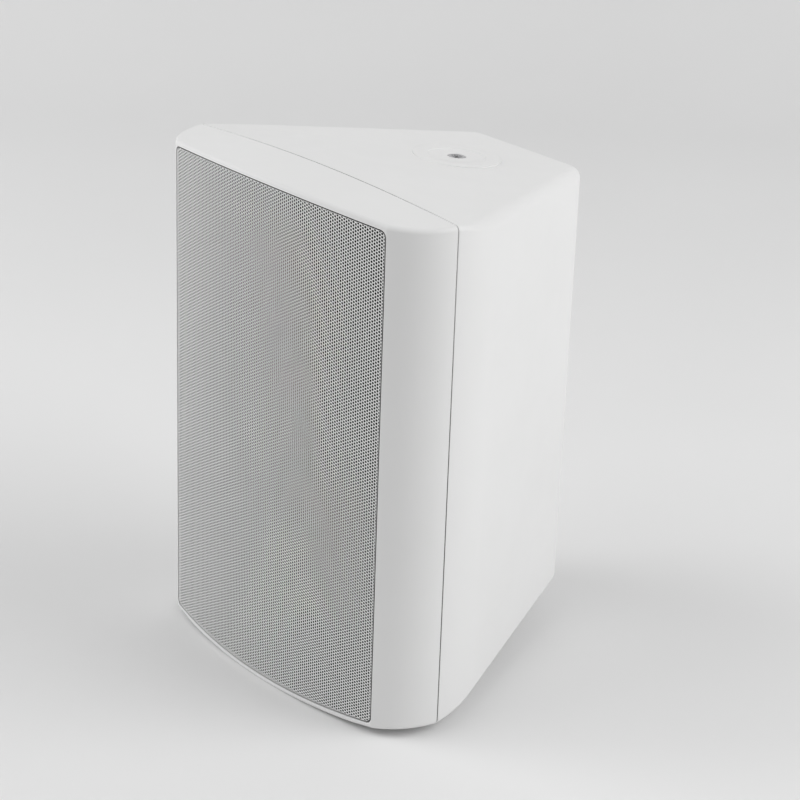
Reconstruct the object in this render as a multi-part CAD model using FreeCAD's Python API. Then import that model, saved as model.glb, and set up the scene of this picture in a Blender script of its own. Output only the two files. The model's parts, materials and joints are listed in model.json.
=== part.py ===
import FreeCAD
import Part
import math
import os

# Two-way passive loudspeaker in a tapered two-piece moulded enclosure, carried by a bracket that
# bolts to a threaded insert in its top and another in its bottom.
# Millimetres. X runs to the right, Y to the back and Z up. While it is modelled the parting seam
# is the plane Y = 0, and each piece is saved with the middle of the enclosure as its origin.

Vector = FreeCAD.Vector

# Enclosure, driving sizes
WIDTH = 295.8  # at its widest line, just behind the seam
CORNER_HEIGHT = 394.0  # from bottom to top at the seam's corners
CROWN = 6.1  # rise of the top's middle above the seam's corners
FRONT_DEPTH = 55.5  # from the seam to the front-most line
REAR_DEPTH = 210.7  # from the seam to the back
FRONT_RADIUS = 550.0  # curve of the front, seen from above
CHEEK_WIDTH = 27.5  # rounded strip between the front and the seam, seen from the front
WIDEST_BEHIND_SEAM = 4.4
FLANK_RADIUS = 85.0  # bend where the side turns into the straight flank
FLANK_TAPER = 25.4  # degrees between the flank and the Y axis
BACK_CORNER_RADIUS = 16.0
BACK_HEIGHT = 352.8  # from bottom to top at the back edge
CROWN_FADE = 170.0  # how far behind the seam the crown has faded to a flat slope
WALL = 4.0
SEAM_GAP = 0.8  # dark line between bezel and housing
BEZEL_EDGE = 4.0  # rounding of the bezel's top and bottom edges
HOUSING_EDGE = 5.5  # rounding of the housing's top and bottom edges

# Tongue on the bezel, rebate and seal in the housing
TONGUE_INSET = 2.0
TONGUE_DROP = 3.5
TONGUE_THICKNESS = 2.0
TONGUE_LENGTH = 6.0
TONGUE_ROOT = 3.0
TONGUE_CLEARANCE = 0.3
SEAL_THICKNESS = 2.0

# Grille and the recess that it is pressed into
SIDE_LIP = 0.3
TOP_LIP = 5.0
GRILLE_GAP = 0.9
GRILLE_SINK = 0.3  # how far the sheet lies behind the lip
GRILLE_CORNER = 4.0
GRILLE_BEND = 1.2
SHEET = 0.8
FLANGE_DEPTH = 8.0
LEDGE_WIDTH = 4.6
RECESS_WALL = 3.0
FOAM_THICKNESS = 2.0
FOAM_CLEARANCE = 0.2
OPENING_PITCH = 29.0
OPENING_SHARE = 0.45  # open share of the perforated sheet
OPENING_BORDER = 5.0  # unbroken sheet around the openings

# Baffle
BAFFLE_BEHIND_FRONT = 29.5
BAFFLE_THICKNESS = 5.0

# Screws that hold the bezel to the housing
POST_RADIUS = 5.5
POST_SIDE_MARGIN = 44.0  # from the enclosure's side
POST_EDGE_MARGIN = 19.0  # from its top and bottom corners
POST_GAP = 0.2
HOUSING_SCREW_RADIUS = 2.0
HOUSING_SCREW_HEAD_RADIUS = 4.0
HOUSING_SCREW_HEAD_HEIGHT = 2.6
HOUSING_SCREW_GRIP = 18.0  # thread length in the post
SCREW_CLEARANCE = 0.3
SOCKET_SHARE = 0.45  # drive recess, as a share of the screw head's radius

# Bracket pads and inserts
PAD_BEHIND_SEAM = 132.6
PAD_RADIUS = 34.0
PAD_RISE = 1.1
PAD_INNER_RADIUS = 22.0
PAD_INNER_DEPTH = 0.5
PAD_EDGE = 0.4
INSERT_RADIUS = 6.5
INSERT_FLANGE_RADIUS = 7.3
INSERT_FLANGE = 1.5
INSERT_SINK = 0.8
INSERT_LENGTH = 18.0
INSERT_BORE_RADIUS = 3.4  # core of an M8 thread
INSERT_BORE_DEPTH = 16.0
INSERT_BOSS_RADIUS = 12.0
INSERT_BOSS_LENGTH = 24.0

# Stiffening ribs on the flanks
RIB_HEIGHT = 8.0
RIB_THICKNESS = 2.5
RIB_START = 14.0
RIB_END = 170.0
RIB_Z = 62.0

# Woofer
WOOFER_SIDE_MARGIN = 9.0  # to the recess's pocket
WOOFER_FLANGE = 5.0
WOOFER_FLANGE_WIDTH = 12.5
WOOFER_GASKET = 1.5
WOOFER_CUTOUT_CLEARANCE = 1.5
DRIVER_GAP = 6.0  # between the woofer's and the tweeter's flanges
BASKET_DEPTH = 62.0
BASKET_WALL = 3.5
BASKET_BASE_RADIUS = 66.0
BASKET_BASE_WALL = 4.0
BASKET_BASE_HOLE = 30.0
BASKET_WINDOWS = 6
BASKET_WINDOW_WIDTH = 46.0
BASKET_WINDOW_START = 9.0
BASKET_WINDOW_END = 42.0
SPIDER_LANDING = 46.0  # behind the flange's seat
SPIDER_LANDING_WALL = 4.0
SPIDER_LANDING_RADIUS = 56.0
SPIDER_RADIUS = 60.0
SPIDER_THICKNESS = 0.6
SPIDER_WAVES = 5
SPIDER_WAVE_HEIGHT = 2.0
SURROUND_THICKNESS = 1.0
SURROUND_ROLL_WIDTH = 11.5
SURROUND_LIP = 4.5
SURROUND_SEAT_MARGIN = 0.5
CONE_THICKNESS = 1.2
CONE_DEPTH = 43.0
COIL_RADIUS = 20.4
COIL_THICKNESS = 1.2
COIL_LENGTH = 36.0
COIL_GAP = 0.6
DUST_CAP_RADIUS = 34.0
DUST_CAP_RISE = 15.0
TOP_PLATE_THICKNESS = 6.0
TOP_PLATE_RADIUS = 58.0
MAGNET_RADIUS = 62.0
MAGNET_THICKNESS = 18.0
MAGNET_HOLE_RADIUS = 30.0
BACK_PLATE_THICKNESS = 6.0
POLE_VENT_RADIUS = 6.0
WOOFER_SCREWS = 8
WOOFER_SCREW_INSET = 4.5
WOOFER_SCREW_HEAD_RADIUS = 3.6
DRIVER_SCREW_RADIUS = 1.9
DRIVER_SCREW_HEAD_HEIGHT = 2.4
DRIVER_SCREW_GRIP = 11.0

# Tweeter
TWEETER_PLATE_RADIUS = 55.0
TWEETER_PLATE = 4.0
TWEETER_MOUTH_RADIUS = 45.0
TWEETER_THROAT_RADIUS = 14.2
TWEETER_HORN_DEPTH = 12.0
TWEETER_BODY_RADIUS = 38.5
TWEETER_BODY_DEPTH = 10.0
TWEETER_BODY_CLEARANCE = 1.0
DOME_RADIUS = 12.4
DOME_RISE = 6.0
DOME_THICKNESS = 0.4
DOME_RIM_RADIUS = 13.7
DOME_STANDOFF = 1.0
TWEETER_COIL_THICKNESS = 0.5
TWEETER_COIL_LENGTH = 6.0
TWEETER_COIL_GAP = 0.45
TWEETER_TOP_PLATE = 4.0
TWEETER_TOP_PLATE_RADIUS = 34.0
TWEETER_MAGNET_RADIUS = 36.0
TWEETER_MAGNET_THICKNESS = 12.0
TWEETER_MAGNET_HOLE_RADIUS = 18.0
TWEETER_BACK_PLATE = 5.0
TWEETER_SCREWS = 4
TWEETER_SCREW_CIRCLE = 50.0
TWEETER_SCREW_HEAD_RADIUS = 3.2

# Bass ports, one each side, where woofer and tweeter meet
PORT_SIDE_MARGIN = 3.0  # to the recess's pocket
PORT_BORE_RADIUS = 20.0
PORT_WALL = 2.5
PORT_FLANGE_RADIUS = 26.0
PORT_FLANGE = 3.0
PORT_LENGTH = 90.0
PORT_FLARE = 2.5
PORT_CLEARANCE = 0.2

# Crossover board on posts from the back wall
BOARD_SIDE_MARGIN = 1.0  # to the ends of the back's flat
BOARD_HEIGHT = 130.0
BOARD_THICKNESS = 1.6
BOARD_Z = 60.0
BOARD_STANDOFF = 10.0
BOARD_POST_RADIUS = 4.0
BOARD_POST_INSET = 7.0
BOARD_SCREW_RADIUS = 1.5
BOARD_SCREW_HEAD_RADIUS = 3.0
BOARD_SCREW_HEAD_HEIGHT = 2.0
BOARD_SCREW_GRIP = 8.0
COIL_FLANGE = 2.0
LARGE_INDUCTOR_RADIUS = 22.0
LARGE_INDUCTOR_HEIGHT = 18.0
LARGE_INDUCTOR_MARGIN = 5.0  # to the board's upper edge
SMALL_INDUCTOR_RADIUS = 15.0
SMALL_INDUCTOR_HEIGHT = 14.0
SMALL_INDUCTOR_BELOW = 4.0
CAPACITOR_RADIUS = 8.0
CAPACITOR_LENGTH = 34.0
CAPACITOR_MARGIN = 8.0  # to the board's lower edge
RESISTOR_SIZE = 9.0
RESISTOR_LENGTH = 34.0
RESISTOR_GAP = 3.0  # to the small inductor

# Terminal cup in the back wall
CUP_Z = -85.0
CUP_SIDE_MARGIN = 3.0  # to the ends of the back's flat
CUP_FLANGE_HEIGHT = 68.0
CUP_FLANGE = 2.5
CUP_FLANGE_BORDER = 8.0  # round the opening
CUP_DEPTH = 26.0
CUP_WALL = 2.5
CUP_CORNER = 5.0
CUP_CLEARANCE = 0.3
CUP_SCREW_INSET = 4.5
CUP_SCREW_RADIUS = 1.5
CUP_SCREW_HEAD_RADIUS = 2.8
CUP_SCREW_SINK = 1.5
CUP_SCREW_GRIP = 10.0
CUP_POST_RADIUS = 4.0
BLOCK_SIDE_MARGIN = 5.5  # to the cup's inside
BLOCK_HEIGHT = 28.0
BLOCK_DEPTH = 12.0
LEVER_WALL = 5.6  # at each side of a lever's pocket
LEVER_HEIGHT = 19.0
LEVER_THICKNESS = 4.0
LEVER_CLEARANCE = 0.8
LEVER_TILT = 16.0  # degrees that a lever stands out at rest
LEVER_PIVOT_ABOVE = 6.5
LEVER_PIVOT_SINK = 3.5
LEVER_POCKET_DEPTH = 10.0
PIN_RADIUS = 1.25
PIN_CLEARANCE = 0.06
CONTACT_WIDTH = 6.0
CONTACT_THICKNESS = 0.8
CONTACT_REACH = 2.5
CONTACT_TAIL = 7.0
CONTACT_BELOW = 7.0
WIRE_HOLE_RADIUS = 2.0

# Damping pads on the flanks
DAMPING_LENGTH = 108.0
DAMPING_THICKNESS = 10.0
DAMPING_CLEARANCE = 0.2
DAMPING_MARGIN = 2.0  # to the ribs above and below
DAMPING_START = 14.0  # along the flank from where it becomes straight

# Worked out from the sizes above
HALF_WIDTH = WIDTH / 2
HALF_CORNER = CORNER_HEIGHT / 2
HALF_BACK = BACK_HEIGHT / 2
FRONT_Y = -FRONT_DEPTH
BAFFLE_Y = FRONT_Y + BAFFLE_BEHIND_FRONT
BAFFLE_BACK_Y = BAFFLE_Y + BAFFLE_THICKNESS
BACK_INNER_Y = REAR_DEPTH - WALL
MIDDLE_Y = (REAR_DEPTH - FRONT_DEPTH) / 2
TALL = CORNER_HEIGHT  # half length of cutters that run past the enclosure
CROWN_RADIUS = (HALF_WIDTH ** 2 + CROWN ** 2) / (2 * CROWN)
TOP_Z = HALF_CORNER + CROWN
SHOULDER_X = HALF_WIDTH + 10.0  # where the crown is drawn to, outside the enclosure
FRONT_CENTRE = Vector(0, FRONT_RADIUS - FRONT_DEPTH, 0)
CORNER_X = HALF_WIDTH - CHEEK_WIDTH  # where the front meets the cheek
CORNER_Y = FRONT_CENTRE.y - math.sqrt(FRONT_RADIUS ** 2 - CORNER_X ** 2)
CHEEK_DEPTH = WIDEST_BEHIND_SEAM - CORNER_Y
CHEEK_RADIUS = (CHEEK_WIDTH ** 2 + CHEEK_DEPTH ** 2) / (2 * CHEEK_WIDTH)
CHEEK_CENTRE = Vector(HALF_WIDTH - CHEEK_RADIUS, WIDEST_BEHIND_SEAM, 0)
FLANK_CENTRE = Vector(HALF_WIDTH - FLANK_RADIUS, WIDEST_BEHIND_SEAM, 0)
TAPER = math.radians(FLANK_TAPER)
FLANK_NORMAL = Vector(math.cos(TAPER), math.sin(TAPER), 0)
FLANK_ALONG = Vector(-math.sin(TAPER), math.cos(TAPER), 0)
UP = Vector(0, 0, 1)
BACKWARD = Vector(0, 1, 0)
WOOFER_SEAT = BAFFLE_Y - WOOFER_GASKET
RECESS_HALF_WIDTH = CORNER_X - SIDE_LIP
POCKET_HALF_WIDTH = RECESS_HALF_WIDTH - LEDGE_WIDTH
WOOFER_FLANGE_RADIUS = POCKET_HALF_WIDTH - WOOFER_SIDE_MARGIN
WOOFER_CUTOUT_RADIUS = WOOFER_FLANGE_RADIUS - WOOFER_FLANGE_WIDTH
WOOFER_SCREW_CIRCLE = WOOFER_FLANGE_RADIUS - WOOFER_SCREW_INSET
SURROUND_OUTER_RADIUS = WOOFER_CUTOUT_RADIUS - SURROUND_SEAT_MARGIN
SURROUND_INNER_RADIUS = SURROUND_OUTER_RADIUS - SURROUND_ROLL_WIDTH
DRIVERS_HALF_HEIGHT = WOOFER_FLANGE_RADIUS + DRIVER_GAP / 2 + TWEETER_PLATE_RADIUS
WOOFER_Z = WOOFER_FLANGE_RADIUS - DRIVERS_HALF_HEIGHT
TWEETER_Z = DRIVERS_HALF_HEIGHT - TWEETER_PLATE_RADIUS
PORT_X = POCKET_HALF_WIDTH - PORT_FLANGE_RADIUS - PORT_SIDE_MARGIN
PORT_Z = WOOFER_Z + WOOFER_FLANGE_RADIUS + DRIVER_GAP / 2
POST_X = HALF_WIDTH - POST_SIDE_MARGIN
POST_EDGE_Z = HALF_CORNER - POST_EDGE_MARGIN
POST_MIDDLE_Z = TWEETER_Z
BACK_CORNER_FOOT = FLANK_CENTRE + FLANK_NORMAL * (FLANK_RADIUS - BACK_CORNER_RADIUS)
FLANK_LENGTH = (REAR_DEPTH - BACK_CORNER_RADIUS - BACK_CORNER_FOOT.y) / FLANK_ALONG.y
BACK_CORNER_CENTRE = BACK_CORNER_FOOT + FLANK_ALONG * FLANK_LENGTH
BACK_HALF_WIDTH = BACK_CORNER_CENTRE.x  # half the back's flat
BOARD_WIDTH = 2 * (BACK_HALF_WIDTH - BOARD_SIDE_MARGIN)
CUP_FLANGE_WIDTH = 2 * (BACK_HALF_WIDTH - CUP_SIDE_MARGIN)
CUP_WIDTH = CUP_FLANGE_WIDTH - 2 * CUP_FLANGE_BORDER
CUP_HEIGHT = CUP_FLANGE_HEIGHT - 2 * CUP_FLANGE_BORDER
BLOCK_WIDTH = CUP_WIDTH - 2 * (CUP_WALL + BLOCK_SIDE_MARGIN)
LEVER_X = BLOCK_WIDTH / 4
LEVER_WIDTH = BLOCK_WIDTH / 2 - 2 * (LEVER_WALL + LEVER_CLEARANCE)


def mirrored(point):
    """The same point on the left side."""
    return Vector(-point.x, point.y, point.z)


def line(start, end):
    return Part.LineSegment(start, end).toShape()


def arc(start, middle, end):
    return Part.Arc(start, middle, end).toShape()


def box(x0, x1, y0, y1, z0, z1):
    return Part.makeBox(x1 - x0, y1 - y0, z1 - z0, Vector(x0, y0, z0))


def rod(radius, y0, y1, x, z):
    """A cylinder along Y."""
    return Part.makeCylinder(radius, y1 - y0, Vector(x, y0, z), BACKWARD)


def tube(outer, inner, y0, y1, x, z):
    return rod(outer, y0, y1, x, z).cut(rod(inner, y0, y1, x, z))


def turned(points, x, z):
    """A solid turned about an axis along Y from (radius, y) corners."""
    corners = [Vector(x + radius, y, z) for radius, y in points]
    face = Part.Face(Part.makePolygon(corners + corners[:1]))
    return face.revolve(Vector(x, 0, z), BACKWARD, 360)


def on_circle(count, radius, x, z, start=0.0):
    """Points (x, z) spaced evenly round an axis along Y."""
    places = []
    for index in range(count):
        angle = math.radians(start + 360.0 * index / count)
        places.append((x + radius * math.cos(angle), z + radius * math.sin(angle)))
    return places


def screw(x, z, head_y, head_radius, head_height, shaft_radius, length):
    """A pan-head screw along Y whose head is in front of head_y, with a cross drive recess."""
    head = rod(head_radius, head_y - head_height, head_y, x, z)
    reach = head_radius * SOCKET_SHARE
    slot = head_radius * SOCKET_SHARE / 2
    depth = head_height / 2
    top = head_y - head_height
    head = head.cut(box(x - reach, x + reach, top, top + depth, z - slot / 2, z + slot / 2))
    head = head.cut(box(x - slot / 2, x + slot / 2, top, top + depth, z - reach, z + reach))
    return head.fuse(rod(shaft_radius, head_y, head_y + length, x, z)).removeSplitter()


def save(name, shape):
    """Write one node with the enclosure's middle as the origin."""
    placed = shape.copy()
    placed.translate(Vector(0, -MIDDLE_Y, 0))
    solids = placed.Solids
    result = solids[0] if len(solids) == 1 else Part.makeCompound(solids)
    result.exportStep("parts/" + name + ".step")
    print(name, len(solids), "solid(s)", round(result.Volume / 1000.0, 2), "cm3")


# Enclosure outline, seen from above


def arc_about(centre, start, end):
    """The short arc from start to end about a centre."""
    towards = (start - centre).normalize() + (end - centre).normalize()
    middle = centre + towards.normalize() * (start - centre).Length
    return arc(start, middle, end)


def front_corner(inset):
    """Where the curve of the front meets the rounded cheek, on the right."""
    front = FRONT_RADIUS - inset
    cheek = CHEEK_RADIUS - inset
    between = CHEEK_CENTRE - FRONT_CENTRE
    along = (front ** 2 - cheek ** 2 + between.Length ** 2) / (2 * between.Length)
    across = math.sqrt(front ** 2 - along ** 2)
    unit = between * (1.0 / between.Length)
    side = Vector(-unit.y, unit.x, 0)
    foot = FRONT_CENTRE + unit * along
    return max(foot + side * across, foot - side * across, key=lambda point: point.x)


def plan_edges(inset):
    """Edges of the right half outline from the front to the back, moved inwards by inset."""
    corner_radius = BACK_CORNER_RADIUS - inset
    corner = front_corner(inset)
    widest = Vector(HALF_WIDTH - inset, WIDEST_BEHIND_SEAM, 0)
    flank_start = FLANK_CENTRE + FLANK_NORMAL * (FLANK_RADIUS - inset)
    flank_end = BACK_CORNER_CENTRE + FLANK_NORMAL * corner_radius
    back = BACK_CORNER_CENTRE + BACKWARD * corner_radius
    edges = [
        arc_about(CHEEK_CENTRE, corner, widest),
        arc_about(FLANK_CENTRE, widest, flank_start),
        line(flank_start, flank_end),
        arc_about(BACK_CORNER_CENTRE, flank_end, back),
    ]
    return corner, back, edges


def plan_prism(inset, y0, y1):
    """The outline as an upright prism, cut off in front of y0 and behind y1."""
    corner, back, right = plan_edges(inset)
    left = [edge.mirror(Vector(0, 0, 0), Vector(1, 0, 0)) for edge in right]
    front = arc(mirrored(corner), Vector(0, FRONT_Y + inset, 0), corner)
    rear = line(back, mirrored(back))
    wire = Part.Wire(Part.__sortEdges__([front, rear] + right + left))
    prism = Part.Face(wire).extrude(UP * (2 * TALL))
    prism.translate(UP * -TALL)
    return prism.common(box(-WIDTH, WIDTH, y0, y1, -TALL, TALL))


def crown_z(x):
    """Height of the crowned top at x."""
    return TOP_Z - CROWN_RADIUS + math.sqrt(CROWN_RADIUS ** 2 - x ** 2)


def crowned_prism(half_width, drop, y0, y1):
    """A prism along Y with upright sides, and with the crown, lowered by drop, as its top and bottom."""
    side_z = crown_z(half_width) - drop
    middle_z = TOP_Z - drop
    right_top = Vector(half_width, y0, side_z)
    right_bottom = Vector(half_width, y0, -side_z)
    edges = [
        arc(mirrored(right_top), Vector(0, y0, middle_z), right_top),
        line(right_top, right_bottom),
        arc(right_bottom, Vector(0, y0, -middle_z), mirrored(right_bottom)),
        line(mirrored(right_bottom), mirrored(right_top)),
    ]
    return Part.Face(Part.Wire(edges)).extrude(BACKWARD * (y1 - y0))


def slope_z(y):
    """Height of the housing's flat slope at y."""
    start = crown_z(SHOULDER_X)
    return start - (start - HALF_BACK) * y / REAR_DEPTH


def crown_rise(y):
    """How far the faded crown stands above the slope at y, on the middle line."""
    share = max(1.0 - y / CROWN_FADE, 0.0) ** 2
    flat = 0.003 * TOP_Z  # keeps the last stations from being straight lines
    return max((TOP_Z - crown_z(SHOULDER_X)) * share, flat)


def sloped_block(drop):
    """A block whose top is the housing's sloping, crowned top lowered by drop."""
    stations = [-SEAM_GAP, 0.25 * CROWN_FADE, 0.5 * CROWN_FADE, 0.75 * CROWN_FADE, CROWN_FADE]
    stations.append(REAR_DEPTH + WALL)
    wires = []
    for y in stations:
        right = Vector(SHOULDER_X, y, slope_z(y) - drop)
        foot = Vector(SHOULDER_X, y, -WALL)
        middle = Vector(0, y, right.z + crown_rise(y))
        edges = [
            arc(mirrored(right), middle, right),
            line(right, foot),
            line(foot, mirrored(foot)),
            line(mirrored(foot), mirrored(right)),
        ]
        wires.append(Part.Wire(edges))
    upper = Part.makeLoft(wires, True, False)
    lower = upper.mirror(Vector(0, 0, 0), UP)
    return upper.fuse(lower).removeSplitter()


def rounded_rim(solid, radius, seam_y):
    """Round the top and bottom edges of an enclosure half, apart from those at the seam."""
    edges = []
    for edge in solid.Edges:
        bounds = edge.BoundBox
        level = bounds.ZLength < HALF_CORNER / 2
        at_seam = bounds.YLength < SEAM_GAP / 2 and abs(bounds.YMin - seam_y) < SEAM_GAP / 2
        if level and not at_seam:
            edges.append(edge)
    return solid.makeFillet(radius, edges)


def post_places():
    """Where the six screws hold bezel and housing together."""
    heights = [POST_EDGE_Z, POST_MIDDLE_Z, -POST_EDGE_Z]
    return [(side * POST_X, z) for side in (-1, 1) for z in heights]


# Front bezel


def grille_prism(inset, y0, y1):
    """The recess's outline as a prism along Y, moved inwards by inset, with rounded corners."""
    prism = crowned_prism(RECESS_HALF_WIDTH - inset, TOP_LIP + inset, y0, y1)
    corner = max(GRILLE_CORNER + GRILLE_GAP - inset, SHEET)
    edges = [edge for edge in prism.Edges if edge.BoundBox.YLength > (y1 - y0) / 2]
    return prism.makeFillet(corner, edges)


def front_drum(depth):
    """The cylinder that lies parallel to the curved front, depth behind it."""
    axis_start = FRONT_CENTRE - UP * TALL
    return Part.makeCylinder(FRONT_RADIUS - depth, 2 * TALL, axis_start, UP)


def tongue_ring(grow, y0, y1):
    """The ring that locates the two halves, grown by a clearance on its outside."""
    outside = plan_prism(TONGUE_INSET - grow, y0, y1)
    outside = outside.common(crowned_prism(SHOULDER_X, TONGUE_DROP - grow, y0, y1))
    inner_inset = TONGUE_INSET + TONGUE_THICKNESS
    inner_drop = TONGUE_DROP + TONGUE_THICKNESS
    inside = plan_prism(inner_inset, y0, y1)
    return outside.cut(inside.common(crowned_prism(SHOULDER_X, inner_drop, y0, y1)))


def front_bezel():
    seam_y = -SEAM_GAP / 2
    ahead = FRONT_Y - WALL
    outer = plan_prism(0, ahead, seam_y).common(crowned_prism(SHOULDER_X, 0, ahead, seam_y))
    bezel = rounded_rim(outer, BEZEL_EDGE, seam_y)
    ledge_depth = GRILLE_SINK + FLANGE_DEPTH
    seat = grille_prism(0, ahead, BAFFLE_Y).cut(front_drum(ledge_depth))
    pocket = grille_prism(LEDGE_WIDTH, ahead, BAFFLE_Y)
    hollow = plan_prism(WALL, FRONT_Y, WALL).common(crowned_prism(SHOULDER_X, WALL, FRONT_Y, WALL))
    kept = RECESS_HALF_WIDTH + RECESS_WALL
    hollow = hollow.cut(box(-kept, kept, FRONT_Y, BAFFLE_BACK_Y, -TALL, TALL))
    bezel = bezel.cut(seat).cut(pocket).cut(hollow)
    bezel = bezel.fuse(tongue_ring(0, -TONGUE_ROOT, TONGUE_LENGTH))
    posts = [rod(POST_RADIUS, BAFFLE_Y, -POST_GAP, x, z) for x, z in post_places()]
    bezel = bezel.fuse(posts).removeSplitter()
    hole = HOUSING_SCREW_RADIUS + SCREW_CLEARANCE
    cuts = [rod(hole, BAFFLE_Y, 0, x, z) for x, z in post_places()]
    deep = BAFFLE_BACK_Y + WALL
    cuts.append(rod(WOOFER_CUTOUT_RADIUS, BAFFLE_Y, deep, 0, WOOFER_Z))
    cuts.append(rod(TWEETER_BODY_RADIUS + TWEETER_BODY_CLEARANCE, BAFFLE_Y, deep, 0, TWEETER_Z))
    port_hole = PORT_BORE_RADIUS + PORT_WALL + PORT_CLEARANCE
    cuts += [rod(port_hole, BAFFLE_Y, deep, side * PORT_X, PORT_Z) for side in (-1, 1)]
    for x, z in woofer_screw_places() + tweeter_screw_places():
        cuts.append(rod(DRIVER_SCREW_RADIUS, BAFFLE_Y, deep, x, z))
    return bezel.cut(Part.makeCompound(cuts))


# Rear housing


def pad_frame(side):
    """The bracket pad's middle on the slope, and its outward normal, on the top (1) or bottom (-1)."""
    fall = (crown_z(SHOULDER_X) - HALF_BACK) / REAR_DEPTH
    normal = Vector(0, fall, 1.0).normalize()
    centre = Vector(0, PAD_BEHIND_SEAM, slope_z(PAD_BEHIND_SEAM)) + normal * PAD_RISE
    return Vector(0, centre.y, side * centre.z), Vector(0, normal.y, side * normal.z)


def along_normal(radius, start, end, side):
    """A cylinder on a bracket pad's axis, between two heights above the pad's face."""
    centre, normal = pad_frame(side)
    return Part.makeCylinder(radius, end - start, centre + normal * start, normal)


def bracket_pad(side):
    """The pad with its sunk middle, and the boss under it."""
    pad = along_normal(PAD_RADIUS, -WALL, 0, side)
    rims = [edge for edge in pad.Edges if edge.Closed]
    centre, normal = pad_frame(side)
    face_rim = max(rims, key=lambda edge: edge.CenterOfMass.dot(normal))
    pad = pad.makeFillet(PAD_EDGE, [face_rim])
    pad = pad.cut(along_normal(PAD_INNER_RADIUS, -PAD_INNER_DEPTH, WALL, side))
    return pad.fuse(along_normal(INSERT_BOSS_RADIUS, -INSERT_BOSS_LENGTH, -WALL / 2, side))


def insert_seat(side):
    """The stepped hole that an insert is pressed into."""
    top = -INSERT_SINK
    seat = along_normal(INSERT_FLANGE_RADIUS, top - INSERT_FLANGE, WALL, side)
    return seat.fuse(along_normal(INSERT_RADIUS, top - INSERT_LENGTH, top, side))


def flank_ribs():
    """Level ribs along both flanks, above and below the damping pads."""
    ring = plan_prism(WALL / 2, RIB_START, RIB_END)
    ring = ring.cut(plan_prism(WALL + RIB_HEIGHT, RIB_START - WALL, RIB_END + WALL))
    ribs = []
    for z in (-RIB_Z, RIB_Z):
        slab = box(-WIDTH, WIDTH, RIB_START, RIB_END, z - RIB_THICKNESS / 2, z + RIB_THICKNESS / 2)
        ribs.append(ring.common(slab))
    return ribs


def rounded_plate(width, height, corner, y0, y1, z):
    """A plate across Y with four rounded corners."""
    plate = box(-width / 2, width / 2, y0, y1, z - height / 2, z + height / 2)
    edges = [edge for edge in plate.Edges if edge.BoundBox.YLength > (y1 - y0) / 2]
    return plate.makeFillet(corner, edges)


def cup_screw_places():
    half_width = CUP_FLANGE_WIDTH / 2 - CUP_SCREW_INSET
    half_height = CUP_FLANGE_HEIGHT / 2 - CUP_SCREW_INSET
    return [(i * half_width, CUP_Z + j * half_height) for i in (-1, 1) for j in (-1, 1)]


def board_screw_places():
    half_width = BOARD_WIDTH / 2 - BOARD_POST_INSET
    half_height = BOARD_HEIGHT / 2 - BOARD_POST_INSET
    return [(i * half_width, BOARD_Z + j * half_height) for i in (-1, 1) for j in (-1, 1)]


def rear_housing():
    seam_y = SEAM_GAP / 2
    outer = plan_prism(0, seam_y, REAR_DEPTH + WALL).common(sloped_block(0))
    outer = rounded_rim(outer, HOUSING_EDGE, seam_y)
    cavity = plan_prism(WALL, 0, REAR_DEPTH).common(sloped_block(WALL))
    shell = outer.cut(cavity)
    rebate_end = TONGUE_LENGTH + SEAL_THICKNESS
    grown = TONGUE_INSET - TONGUE_CLEARANCE
    rebate = plan_prism(grown, 0, rebate_end)
    shell = shell.cut(rebate.common(crowned_prism(SHOULDER_X, TONGUE_DROP - TONGUE_CLEARANCE, 0, rebate_end)))
    board_y = BACK_INNER_Y - BOARD_STANDOFF
    inside = [rod(POST_RADIUS, 0, REAR_DEPTH, x, z) for x, z in post_places()]
    inside += [rod(BOARD_POST_RADIUS, board_y, REAR_DEPTH - WALL / 2, x, z) for x, z in board_screw_places()]
    cup_seat_y = REAR_DEPTH - CUP_FLANGE
    cup_post_y = cup_seat_y - CUP_SCREW_GRIP - WALL / 2
    inside += [rod(CUP_POST_RADIUS, cup_post_y, cup_seat_y, x, z) for x, z in cup_screw_places()]
    inside += flank_ribs()
    shell = shell.fuse([piece.common(outer) for piece in inside])
    shell = shell.fuse([bracket_pad(1), bracket_pad(-1)])
    cuts = [insert_seat(1), insert_seat(-1)]
    deep = HOUSING_SCREW_GRIP + WALL
    cuts += [rod(HOUSING_SCREW_RADIUS, 0, deep, x, z) for x, z in post_places()]
    deep = board_y + BOARD_SCREW_GRIP
    cuts += [rod(BOARD_SCREW_RADIUS, board_y, deep, x, z) for x, z in board_screw_places()]
    deep = cup_seat_y - CUP_SCREW_GRIP
    cuts += [rod(CUP_SCREW_RADIUS, deep, cup_seat_y, x, z) for x, z in cup_screw_places()]
    room = 2 * CUP_CLEARANCE
    past = REAR_DEPTH + WALL
    flange_size = (CUP_FLANGE_WIDTH + room, CUP_FLANGE_HEIGHT + room, CUP_CORNER)
    cuts.append(rounded_plate(*flange_size, cup_seat_y, past, CUP_Z))
    through = BACK_INNER_Y - WALL
    cuts.append(rounded_plate(CUP_WIDTH + room, CUP_HEIGHT + room, CUP_CORNER, through, past, CUP_Z))
    return shell.cut(Part.makeCompound(cuts)).removeSplitter()


def seam_seal():
    return tongue_ring(0, TONGUE_LENGTH, TONGUE_LENGTH + SEAL_THICKNESS)


def bracket_insert(side):
    """A flanged threaded insert, bored to the thread's core."""
    top = -INSERT_SINK
    insert = along_normal(INSERT_FLANGE_RADIUS, top - INSERT_FLANGE, top, side)
    insert = insert.fuse(along_normal(INSERT_RADIUS, top - INSERT_LENGTH, top, side))
    return insert.cut(along_normal(INSERT_BORE_RADIUS, top - INSERT_BORE_DEPTH, top, side))


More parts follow.
